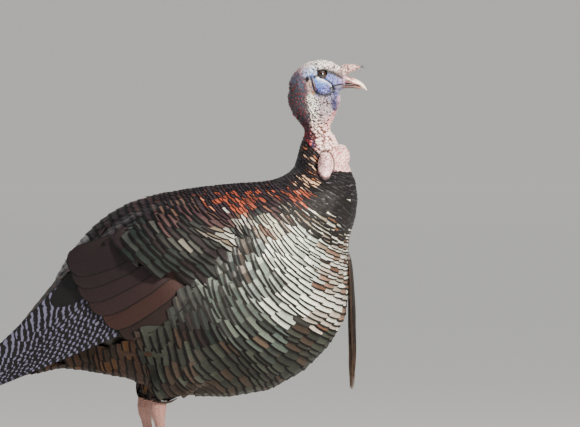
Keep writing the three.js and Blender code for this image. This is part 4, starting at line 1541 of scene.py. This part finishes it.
def tract_of(tips):
    """Name of the tract that each feather belongs to."""
    x, y, z = tips.T
    names = np.where(x > 40, "breast", "flank").astype(object)
    names[z < 300] = "belly"
    over_wing = z > np.interp(x, (-150, -90, -20, 10, 20, 66), (400, 384, 366, 368, 384, 440))
    names[(x < 66) & (np.abs(y) > 84) & over_wing] = "wing_coverts"
    names[(np.abs(y) < 84) & (z > 430) & (x < 120)] = "mantle"
    names[(x > 110) & (z > 500)] = "collar"
    side = np.where(y < 0, "_right", "_left")
    one = np.isin(names, ("mantle", "collar", "belly"))
    return np.array([n if o else n + s for n, o, s in zip(names, one, side)])


# The gloss of each tract: finish, roughness, metallic share, specular level, share of bronze. The
# flank has the breast's.
SHEEN = {
    "breast": ("Glossy body feathers", 0.4, 0.42, 0.5, 0.12),
    "mantle": ("Dull back feathers", 0.66, 0.1, 0.1, 0.0),
    "collar": ("Neck feathers", 0.55, 0.15, 0.25, 0.0),
    "wing_coverts": ("Wing covert feathers", 0.55, 0.15, 0.15, 0.0),
    "belly": ("Belly feathers", 0.62, 0.1, 0.15, 0.1),
}


ROWS_DEEP = 3.2  # how many rows a feather reaches back under


def build_plumage():
    """The body's feathers, in rows from the neck to the vent."""
    look = settings()
    hide, lie = form()
    rng = np.random.default_rng(3)

    def inside(place):
        x, y, z = place
        if z < 196 and abs(y) > 30 and -60 < x < 30:
            return False
        centre, radii = LOBES[0]
        egg = ((x - centre[0]) / radii[0]) ** 2 + ((z - centre[2]) / radii[2]) ** 2
        if egg < 1.25 and abs(y) > 15 or over_quills(x, y, z):
            return False
        return bool(collar_mask(np.array([place]))[0] > 0.5)

    starts = ((-90, -120, 440), (-90, 120, 440), (150, -100, 384), (150, 100, 384),
              (-60, -120, 300), (-60, 120, 300), (60, 0, 516), (130, 0, 215))
    stretch = look.row_spacing * 1.0
    rows = Rows(hide, lie, inside, stretch).fill(starts)
    tips, normals, ways, spacing, width = rows.tips(rng)
    open_air = ~(covered(tips) & covered(tips - ways * (spacing * 0.8)[:, None]))
    tips, normals, ways, spacing, width = (
        part[open_air] for part in (tips, normals, ways, spacing, width))
    count = len(tips)
    angle = (rng.normal(0, 0.03, count) + np.where(tips[:, 1] < 0, 0.07, -0.07))[:, None]
    ways = unit(ways * np.cos(angle) + np.cross(normals, ways) * np.sin(angle))
    tips = tips + ways * rng.normal(0, 0.05, (count, 1)) * spacing[:, None]
    width = width * rng.uniform(0.95, 1.1, count)
    length = spacing * ROWS_DEEP + width * 0.12
    depth = np.minimum(look.feather_lift * 1000, length * 0.11)
    roll = 0.22 * rng.uniform(0.6, 1.3, count) * np.where(tips[:, 1] < 0, 1, -1) * width / 30
    square = np.interp(width, (10, 20, 34), (0.2, 0.1, 0.045))
    top, bends, marks = lay_vanes(hide, tips, normals, ways, length, width, square, depth, roll, rng,
                                  camber=0.012, top=0.6)
    flat = top.reshape(-1, 3)
    sunk = lobe_share(flat, 1.7)[0] * 5.0 + lobe_share(flat, 1.15)[0] * 7.0
    top = top - bends * sunk.reshape(top.shape[:3])[..., None]
    # near the wing's edge the small feathers climb on to the quills
    x, z = flat[:, 0], flat[:, 2]
    near = 1 - ease(away_from_line(flat[:, [0, 2]], WING_EDGE), 2, 22 + 30 * ease(-x, 80, 110))
    near = np.maximum(near, beyond_edge(x, z)) * (x > -215) * (x < 14) * (z > 262)
    for name, side in SIDES.items():
        plate = plate_of("wing_tertials_" + name)(x, z) + 3.4
        short = np.clip(plate - flat[:, 1] * side, 0, 14) * near * (flat[:, 1] * side > 70)
        top[..., 1] += side * short.reshape(top.shape[:3])
    tint = lie.colours(tips, rng)
    tint[:, :3] *= rng.uniform(0.86, 1.14, (count, 1))
    tint[:, 3] = np.clip(tint[:, 3] * spacing / 10, 0.08, 1.0)
    thick = np.interp(width, (12, 34), (0.2, 0.42))[:, None, None, None]
    patches = coat_patches(top[:, 0, 3], len(BODY_ROWS), len(COLUMNS))
    tracts = tract_of(tips)
    for name in sorted(set(tracts)):
        mine = tracts == name
        tract = name.replace("_right", "").replace("_left", "")
        vane_piece("feathers_" + name, top[mine], bends[mine], thick[mine], marks[mine], tint[mine],
                   patches[mine], plumage_material(*SHEEN.get(tract, SHEEN["breast"])))


# ---- wings and tail

# Folded wing in the side view: root, tip, width, tip roundness. The first lies over the next.
TERTIALS = (
    ((-92, 430), (-196, 394), 50, 0.2), ((-70, 426), (-189, 374), 52, 0.22),
    ((-50, 420), (-179, 352), 54, 0.22), ((-32, 410), (-163, 330), 54, 0.24),
    ((-14, 396), (-141, 308), 52, 0.24), ((0, 380), (-117, 290), 48, 0.26),
)
QUILL_FAN = (-446, 171)  # where the long quills' lines meet
QUILL_COUNT = 15
DARK_QUILLS = 1  # the uppermost long quill has no bars
QUILL_STARTS = ((-84, 436), (-58, 330))  # their roots, from the upper to the lower


def plate_of(node):
    """The folded wing's outer face as y over the side view, fitted to its solid."""
    def terms(x, z):
        a, b = x / 100, z / 100
        return np.stack([np.ones_like(a), a, b, a * a, a * b, b * b], axis=-1)

    x, y, z = KEPT[node].points.T
    fit = np.linalg.lstsq(terms(x, z), np.abs(y), rcond=None)[0]
    return lambda x, z: terms(x, z) @ fit


def quills_on(surface, side, specs, lift, roll, sag=0.0, tuck=0.0):
    """Long feathers in the side view, stood off a plate: specs are root, tip, width, roundness."""
    roots = np.array([s[0] for s in specs], float)
    tips = np.array([s[1] for s in specs], float)
    width = np.array([s[2] for s in specs], float)
    square = np.array([s[3] for s in specs], float)
    run = tips - roots
    length = np.linalg.norm(run, axis=1)
    way = run / length[:, None]
    over = np.stack([-way[:, 1], way[:, 0]], axis=1)  # towards the lower edge
    over *= np.where(over[:, 1:] > 0, -1, 1)
    v, u = grid_of(QUILL_ROWS)
    length, width = each(length), each(width)
    broad = 0.55 + 0.45 * ease(v, 0, 0.3) - 0.22 * ease(v, 0.8, 1.0)
    back = length * (1 - v) + each(square) * width * np.abs(u) ** 2.4 * v**4
    wide = width / 2 * u * broad + sag * length * v * (1 - v)
    flat = each(tips) - each(way) * back[..., None] + each(over) * wide[..., None]
    x, z = flat[..., 0], flat[..., 1]
    out = surface(x, z) + lift + roll * u * (0.35 + 0.65 * v)
    out = out - tuck * (1 - ease(v, 0, 0.22))  # the roots sink under the small feathers
    dx = (surface(x + 1, z) - surface(x - 1, z)) / 2
    dz = (surface(x, z + 1) - surface(x, z - 1)) / 2
    normals = unit(np.stack([-dx, np.full_like(dx, side), -dz], axis=-1))
    return np.stack([x, side * out, z], axis=-1), normals, vane_marks(length, back, v, u)


def strip_patches(count):
    """A strip of its own for each long feather."""
    edges = np.linspace(0.02, 0.98, count + 1)
    patches = np.empty((count, len(QUILL_ROWS), len(COLUMNS), 2))
    for i in range(count):
        patches[i, ..., 0] = np.linspace(edges[i] + 0.004, edges[i + 1] - 0.004, len(COLUMNS))
        patches[i, ..., 1] = np.linspace(0.03, 0.97, len(QUILL_ROWS))[:, None]
    return patches


def build_wings():
    """Smooth inner quills and the barred long quills of both folded wings."""
    form()
    rng = np.random.default_rng(8)
    for name, side in SIDES.items():
        surface = plate_of("wing_tertials_" + name)
        points, normals, marks = quills_on(surface, side, TERTIALS, 1.4, 1.2, sag=0.05, tuck=9)
        shades = ("#1d1519", "#20171b", "#241a1d", "#2a1d1f", "#34211f", "#271c1b")
        tint = np.array([(*paint(c), 0.2) for c in shades])
        vane_piece("quills_inner_" + name, points, normals, 0.6, marks, tint,
                   strip_patches(len(TERTIALS)),
                   flight_material("Inner quills", 0.0, 0.9, "#8a7f86", 0.35),
                   ("wing_tertials_" + name,))
        specs = []
        for i in range(QUILL_COUNT):
            t = i / (QUILL_COUNT - 1)
            root = np.array(QUILL_STARTS[0]) * (1 - t) + np.array(QUILL_STARTS[1]) * t
            run = np.array(QUILL_FAN) - root
            reach = np.linalg.norm(run) * (0.36 + 0.52 * t**0.8) + 8
            specs.append((root, root + unit(run) * reach, 44 - 12 * t, 0.5))
        surface = plate_of("wing_primaries_" + name)
        points, normals, marks = quills_on(surface, side, specs, 1.2, 1.3)
        # bars stand in slanting ranks from one quill to the next
        shift = 0.36 * np.arange(QUILL_COUNT) + rng.uniform(-0.3, 0.3, QUILL_COUNT)
        marks[..., 1] = (points[..., 0] - QUILL_FAN[0]) / 10 + each(shift)
        tint = np.array([(*paint("#0b090d"), -1.0)] * QUILL_COUNT)
        tint[:, :3] *= rng.uniform(0.85, 1.15, (QUILL_COUNT, 1))
        patches = strip_patches(QUILL_COUNT)
        for label, mine, share in (("upper", slice(0, DARK_QUILLS), 0.0),
                                   ("barred", slice(DARK_QUILLS, None), 0.33)):
            vane_piece(f"quills_{label}_{name}", points[mine], normals[mine], 0.5, marks[mine],
                       tint[mine], patches[mine],
                       flight_material("Quills " + label, share, 0.95, "#5e5e76", 0.1),
                       ("wing_primaries_" + name,))


TAIL_ROOT, TAIL_TIP = (-150.0, 412.0), (-428.0, 120.0)
FAN = {
    "count": 18, "spread": 5.5, "start": 20, "reach": 400, "width": 46, "layer": 0.8,
    "roundness": 0.16, "arch": 3.0, "base_gap": 1.6, "over": 4.0,
}


def on_tail(along, across, over, arch):
    """Points and normals from measures along the tail, out to the left and up off its upper face."""
    root = np.array(TAIL_ROOT)
    run = unit(np.array(TAIL_TIP) - root)
    up = np.array([run[1], -run[0]])
    x = root[0] + run[0] * along + up[0] * over
    z = root[1] + run[1] * along + up[1] * over
    points = np.stack([x, across, z], axis=-1)
    normals = np.broadcast_to([up[0], 0, up[1]], points.shape).copy()
    normals[..., 1] += across * 2 * arch / 2500
    return points, unit(normals)


def fan_of(rng, count, spread, start, reach, width, layer, roundness, arch, base_gap, over):
    """A closed fan of tail feathers, the middle pair on top."""
    place = np.arange(count) - (count - 1) / 2
    angle = each(np.radians(place / max(abs(place).max(), 0.5) * spread))
    v, u = grid_of(QUILL_ROWS)
    length = reach - start
    back = length * (1 - v) + roundness * width * np.abs(u) ** 2.6 * v**4 + np.zeros((count, 1, 1))
    wide = width / 2 * u * (0.5 + 0.5 * ease(v, 0, 0.35) - 0.1 * ease(v, 0.85, 1))
    a = length - back
    along = start + a * np.cos(angle) - wide * np.sin(angle)
    across = each(place * base_gap) + a * np.sin(angle) + wide * np.cos(angle)
    high = over - layer * each(np.abs(place)) - arch * (across / 50) ** 2
    high = high + rng.normal(0, 0.1, (count, 1, 1)) + 0 * back
    return *on_tail(along, across, high, arch), vane_marks(length, back, v, u)


def build_tail():
    """The closed tail with its bars, dark band and buff tips, and the coverts over its root."""
    form()
    rng = np.random.default_rng(21)
    points, normals, marks = fan_of(rng, **FAN)
    tint = np.tile((*paint("#33241f"), 0.0), (len(points), 1))
    tint[:, :3] *= rng.uniform(0.9, 1.1, (len(points), 1))
    # fine bars, a broad dark band near the end, then a buff tip
    vane_piece("tail_fan", points, normals, 0.6, marks, tint, strip_patches(len(points)),
               banded_material("Tail feathers", 0.26, 0.55, (2.3, 3.9), "#b98a5e", 0.15),
               ("tail",))
    tips, sizes = [], []
    for row, along in enumerate(np.arange(26, 214, 15.0)):
        wide = 46 + along * 0.05
        for across in np.arange(-wide, wide + 1, 17.0) + (row % 2) * 8.5:
            tips.append((along, across))
            sizes.append((34, 60 + along * 0.08))
    v, u = grid_of(BODY_ROWS)
    width, length = (each(size) for size in np.array(sizes).T)
    back = length * (1 - v) + 0.22 * width * np.abs(u) ** 2.6 * v**3
    wide = width / 2 * u * (0.45 + 0.55 * ease(v, 0, 0.5) - 0.1 * ease(v, 0.86, 1))
    along, across = (each(place) for place in np.array(tips).T)
    along, across = along - back, across + wide
    high = 26 - 0.085 * along - 5.0 * (across / 50) ** 2 - 3.5 * (1 - v) + 0.5 * u
    high = high + rng.normal(0, 0.15, (len(tips), 1, 1))
    points, normals = on_tail(along, across, high, 5.0)
    shades = [paint(c) for c in ("#1f171b", "#261a1d", "#2c1e1c", "#1b1418")]
    tint = np.array([(*shades[rng.integers(4)], 0.12) for _ in tips])
    # plain bronze with a dark band and a chestnut tip
    vane_piece("tail_coverts", points, normals, 0.4, vane_marks(length, back, v, u), tint,
               coat_patches(points[:, 0, 3], len(BODY_ROWS), len(COLUMNS)),
               banded_material("Tail coverts", 0.0, 0.55, (0.7, 1.15), "#3c271e", 0.1))


# ---- beard and legs


def build_beard():
    """A hank of stiff, wavy bristles that hangs from the breast."""
    rng = np.random.default_rng(13)
    count, steps, top, length = settings().beard_strands, 15, 414, 208
    down = np.linspace(0, 1, steps)
    middle_x = np.interp(down, (0, 0.06, 0.2, 0.45, 0.7, 0.9, 1), (219, 224, 226, 228, 228.5, 228, 227.6))
    spread = np.interp(down, (0, 0.2, 0.5, 0.75, 1), (2.6, 5.4, 8.6, 9.0, 5.0))
    deep = np.interp(down, (0, 0.2, 0.5, 0.8, 1), (2.6, 4.2, 5.6, 5.2, 3.0))
    turn = rng.uniform(0, 2 * math.pi, count)
    out = np.sqrt(rng.uniform(0, 1, count))
    wave = rng.uniform(0, 6.28, (count, 1)) + down[None] * rng.uniform(5, 11, (count, 1))
    reach = rng.uniform(0.72, 1.0, (count, 1))
    z = top - down[None] * length * reach
    t = (top - z) / length
    fore, aside = (out * np.cos(turn))[:, None], (out * np.sin(turn))[:, None]
    x = np.interp(t, down, middle_x) + fore * np.interp(t, down, deep) + 0.8 * t * np.sin(wave)
    y = aside * np.interp(t, down, spread) + 1.2 * t * np.cos(wave * 0.8)
    lines = np.stack([x, y, z], axis=-1)
    radii = np.tile(0.62 - 0.42 * down**2, (count, 1)) * rng.uniform(0.7, 1.15, (count, 1))
    piece = strand_mesh("beard_bristles", lines, radii)
    shades = np.array([paint(c) for c in ("#15100e", "#241a15", "#3a2a20", "#0d0a0a")])
    root = shades[rng.integers(4, size=count)]
    colour = np.repeat(root, steps * ROD_SIDES, axis=0).reshape(count, steps, ROD_SIDES, 3)
    brown = ease(down, 0.72, 1.0)[None, :, None, None]
    colour = colour * (1 - brown * 0.6) + np.array(paint("#5a3e2a")) * brown * 0.6
    colour_points(piece, colour.reshape(-1, 3))
    map_points(piece, "OFBake", rod_patches(count, steps, rng))
    material = tinted_material("Beard bristle", 0.42, 0.12, 260.0, 0.15, 0.00003)
    finish_piece(piece, material, ("beard",))


TOE_NAMES = ("middle", "outer", "inner", "hallux")
SCALE_SIZE = 2.6


def build_legs():
    """Scaled shanks and toes with horny claws and spurs."""
    leg = np.array(tuple(settings().leg_colour))
    horn = np.array(tuple(settings().claw_colour))
    rng = np.random.default_rng(17)
    scale_skin = tinted_material("Scaly leg", 0.42, 0.24, 320.0, 0.15, 0.0002)
    horny = tinted_material("Claw horn", 0.3, 0.2, 300.0, 0.3, 0.0001)
    for name in SIDES:
        nodes = [f"shank_{name}"] + [f"toe_{toe}_{name}" for toe in TOE_NAMES]
        core = rounded_copy(nodes, "leg_" + name, 1.1, 3, grow=0.3)
        points, normals = points_of(core), normals_of(core)
        tree = tree_of(points, sow(points, np.full(len(points), SCALE_SIZE), rng))
        near = np.array([[hit[2] for hit in tree.find_n(p, 2)] for p in points.tolist()])
        scale = ease((near[:, 1] - near[:, 0]) / SCALE_SIZE, 0.02, 0.4)
        points = points + normals * (scale * 0.35 - 0.25)[:, None]
        points[:, 2] = np.maximum(points[:, 2], 0.0)
        move_points(core, points)
        colour = leg * (0.5 + 0.5 * scale[:, None]) * [1.0, 0.95, 0.92]
        colour = paint_over(colour, ease(6 - points[:, 2], 0, 5) * 0.5, "#6a4a42")
        colour_points(core, colour)
        finish_piece(core, scale_skin, nodes)
        build_scutes(name, Hide(core), leg, scale_skin, rng)
        for part in [f"spur_{name}"] + [f"claw_{toe}_{name}" for toe in TOE_NAMES]:
            piece = rounded_copy((part,), part + "_horn", 0.55, 3, grow=0.15)
            shade = np.tile(horn, (len(piece.data.vertices), 1)) * rng.uniform(0.9, 1.1)
            colour_points(piece, shade)
            finish_piece(piece, horny, (part,))


def build_scutes(name, hide, leg, material, rng):
    """Overlapping plates down the shank's front and back and along each toe."""
    shank = copy_points("shank_" + name)
    ways, sizes, seeks = [], [], []
    for z in np.arange(150, 12, -5.6):
        ring = shank[np.abs(shank[:, 2] - z) < 9]
        if not len(ring):
            continue
        middle = (ring.min(axis=0) + ring.max(axis=0)) / 2
        for round_to in (-28, 28, 150, 210):
            angle = math.radians(round_to)
            seeks.append((middle[0] + 20 * math.cos(angle), middle[1] + 20 * math.sin(angle), z))
            ways.append((0.16, 0, -1))
            sizes.append((7.4 if abs(round_to) < 90 else 6.4, 7.6))
    for toe in TOE_NAMES:
        cloud = copy_points(f"toe_{toe}_{name}")
        flat = cloud[:, :2]
        middle = flat.mean(axis=0)
        run = np.linalg.svd(flat - middle, full_matrices=False)[2][0]
        root = shank[shank[:, 2] < 20][:, :2].mean(axis=0)
        run = run if (middle - root) @ run > 0 else -run
        length = (flat - root) @ run
        for s in np.arange(8, length.max() - 1, 4.4):
            spot = root + run * s
            seeks.append((spot[0], spot[1], 30))
            ways.append((run[0], run[1], 0))
            sizes.append((7.6 - 3.0 * s / max(length.max(), 1), 6.2))
    seeks, ways, sizes = np.array(seeks), unit(np.array(ways, float)), np.array(sizes)
    places, normals = hide.nearest(seeks)
    ways = along_surface(ways, normals)
    count = len(places)
    width, length = sizes.T
    top, bends, marks = lay_vanes(
        hide, places, normals, ways, length, width, np.full(count, 0.22), np.full(count, 0.75),
        np.zeros(count), rng, top=0.75, camber=0.0,
        rows=(0.0, 0.4, 0.75, 0.93, 1.0), columns=(-1.0, -0.6, 0.0, 0.6, 1.0))
    shade = leg * rng.uniform(0.85, 1.15, (count, 1))
    vane_piece("scutes_" + name, top, bends, 0.5, marks, shade, coat_patches(top[:, 0, 2], 5, 5),
               material)


def copy_points(node):
    """A solid's corners in own millimetres."""
    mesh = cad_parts[node].data
    flat = np.empty(len(mesh.vertices) * 3, np.float32)
    mesh.vertices.foreach_get("co", flat)
    return to_own(flat.reshape(-1, 3))


# ---- stage

VIEW = {"x": 135.0, "z": 470.0, "azimuth": 0.0, "elevation": 1.0, "away": 12.0}


def aim(obj, target):
    """Turns a light or the camera towards a place."""
    obj.rotation_euler = (Vector(target) - obj.location).to_track_quat("-Z", "Y").to_euler()


def build_stage():
    """A pale floor that curves up behind, soft lights and the camera."""
    deselect()
    bpy.ops.mesh.primitive_plane_add(size=90, location=(0, 0, 0))
    floor = bpy.context.active_object
    floor.name = floor.data.name = "floor"
    mode("EDIT")
    bpy.ops.mesh.select_mode(type="EDGE")
    bpy.ops.mesh.select_all(action="DESELECT")
    mode("OBJECT")
    for edge in floor.data.edges:
        edge.select = True
    mode("EDIT")
    bpy.ops.mesh.extrude_region_move(TRANSFORM_OT_translate={"value": (0, 0, 25)})
    mode("OBJECT")
    # the wall stands round the floor, with no lid
    lid = [abs(face.normal.z) > 0.9 and face.center.z > 1 for face in floor.data.polygons]
    edit_faces(floor, lid, bpy.ops.mesh.delete, type="ONLY_FACE")
    apply_modifier(floor, "BEVEL", width=9.0, segments=24, limit_method="ANGLE")
    pale = (*paint("#dedcd7"), 1)
    floor.data.materials.append(
        new_material("Pale floor", 0.8, Base_Color=pale, Emission_Color=pale, Emission_Strength=0.3)[0])
    bpy.ops.object.shade_smooth()

    target = to_frame([20, 0, 380])
    for name, place, size, power, tint in (
        ("Key light", (1.6, -1.7, 1.8), 0.4, 180, "#fff3e2"),
        ("Fill light", (-1.9, -2.2, 0.9), 2.0, 8, "#e8f0ff"),
        ("Rim light", (-0.9, 1.9, 1.5), 1.0, 6, "#ffffff"),
        ("Top light", (0.9, -0.4, 2.3), 1.2, 12, "#ffffff"),
    ):
        light = bpy.data.lights.new(name, "AREA")
        light.shape, light.size, light.energy, light.color = "DISK", size, power, paint(tint)
        obj = new_object(name, light)
        obj.location = place
        obj.visible_camera = False
        aim(obj, target)
    world = bpy.data.worlds.new("Studio")
    bpy.context.scene.world = world
    world.use_nodes = True
    sky = world.node_tree.nodes["Background"].inputs
    sky["Color"].default_value = (*paint("#dfe4ea"), 1)
    sky["Strength"].default_value = 0.42

    look_at = Vector(to_frame([VIEW["x"], 0, VIEW["z"]]))
    turn, rise = math.radians(VIEW["azimuth"]), math.radians(VIEW["elevation"])
    back = Vector((math.sin(turn) * math.cos(rise), -math.cos(turn) * math.cos(rise), math.sin(rise)))
    camera = bpy.data.cameras.new("Camera")
    camera.sensor_width = 36
    camera.lens = 36 * VIEW["away"] / settings().view_width
    camera.clip_start, camera.clip_end = 0.5, 60
    eye = new_object("Camera", camera)
    eye.location = look_at + back * VIEW["away"]
    aim(eye, look_at)
    bpy.context.scene.camera = eye


# ---- operators and panel


class TURKEY_OT_skin(bpy.types.Operator):
    """Make the one skin with the bare head, the neck's warts and the lobes"""

    bl_idname = "turkey.skin"
    bl_label = "Skin"

    def execute(self, context):
        KEPT["skin"] = Hide(build_skin())
        return {"FINISHED"}


class TURKEY_OT_head_parts(bpy.types.Operator):
    """Make the bill, the eyes and the bristles of the head"""

    bl_idname = "turkey.head_parts"
    bl_label = "Bill, eyes and bristles"

    def execute(self, context):
        if "skin" not in KEPT:
            raise RuntimeError("make the skin first")
        build_bill()
        build_eyes()
        build_bristles(KEPT["skin"])
        return {"FINISHED"}


class TURKEY_OT_plumage(bpy.types.Operator):
    """Lay the body's feathers in rows"""

    bl_idname = "turkey.plumage"
    bl_label = "Body feathers"

    def execute(self, context):
        build_plumage()
        return {"FINISHED"}


class TURKEY_OT_wings(bpy.types.Operator):
    """Make the quills of the folded wings"""

    bl_idname = "turkey.wings"
    bl_label = "Wing quills"

    def execute(self, context):
        build_wings()
        return {"FINISHED"}


class TURKEY_OT_tail(bpy.types.Operator):
    """Make the tail fan and its coverts"""

    bl_idname = "turkey.tail"
    bl_label = "Tail"

    def execute(self, context):
        build_tail()
        return {"FINISHED"}


class TURKEY_OT_beard(bpy.types.Operator):
    """Make the beard's bristles"""

    bl_idname = "turkey.beard"
    bl_label = "Beard"

    def execute(self, context):
        build_beard()
        return {"FINISHED"}


class TURKEY_OT_legs(bpy.types.Operator):
    """Make the scaly legs, claws and spurs"""

    bl_idname = "turkey.legs"
    bl_label = "Legs"

    def execute(self, context):
        build_legs()
        return {"FINISHED"}


class TURKEY_OT_stage(bpy.types.Operator):
    """Make the floor, the lights and the camera"""

    bl_idname = "turkey.stage"
    bl_label = "Stage"

    def execute(self, context):
        build_stage()
        return {"FINISHED"}


STEPS = (TURKEY_OT_stage, TURKEY_OT_skin, TURKEY_OT_head_parts, TURKEY_OT_plumage, TURKEY_OT_wings,
         TURKEY_OT_tail, TURKEY_OT_beard, TURKEY_OT_legs)


class TURKEY_PT_panel(bpy.types.Panel):
    """Sizes, colours and the pieces of the bird, in the order they are made"""

    bl_idname = "TURKEY_PT_panel"
    bl_label = "Wild turkey"
    bl_space_type = "VIEW_3D"
    bl_region_type = "UI"
    bl_category = "Turkey"

    def draw(self, context):
        for name in TurkeySettings.__annotations__:
            self.layout.prop(context.scene.turkey, name)
        for step in STEPS:
            self.layout.operator(step.bl_idname)


CLASSES = (TurkeySettings, *STEPS, TURKEY_PT_panel)


def register():
    for cls in CLASSES:
        bpy.utils.register_class(cls)
    bpy.types.Scene.turkey = PointerProperty(type=TurkeySettings)


def unregister():
    del bpy.types.Scene.turkey
    for cls in reversed(CLASSES):
        bpy.utils.unregister_class(cls)


def main():
    register()
    for step in STEPS:
        group, name = step.bl_idname.split(".")
        getattr(getattr(bpy.ops, group), name)()


if __name__ == "__main__":
    main()
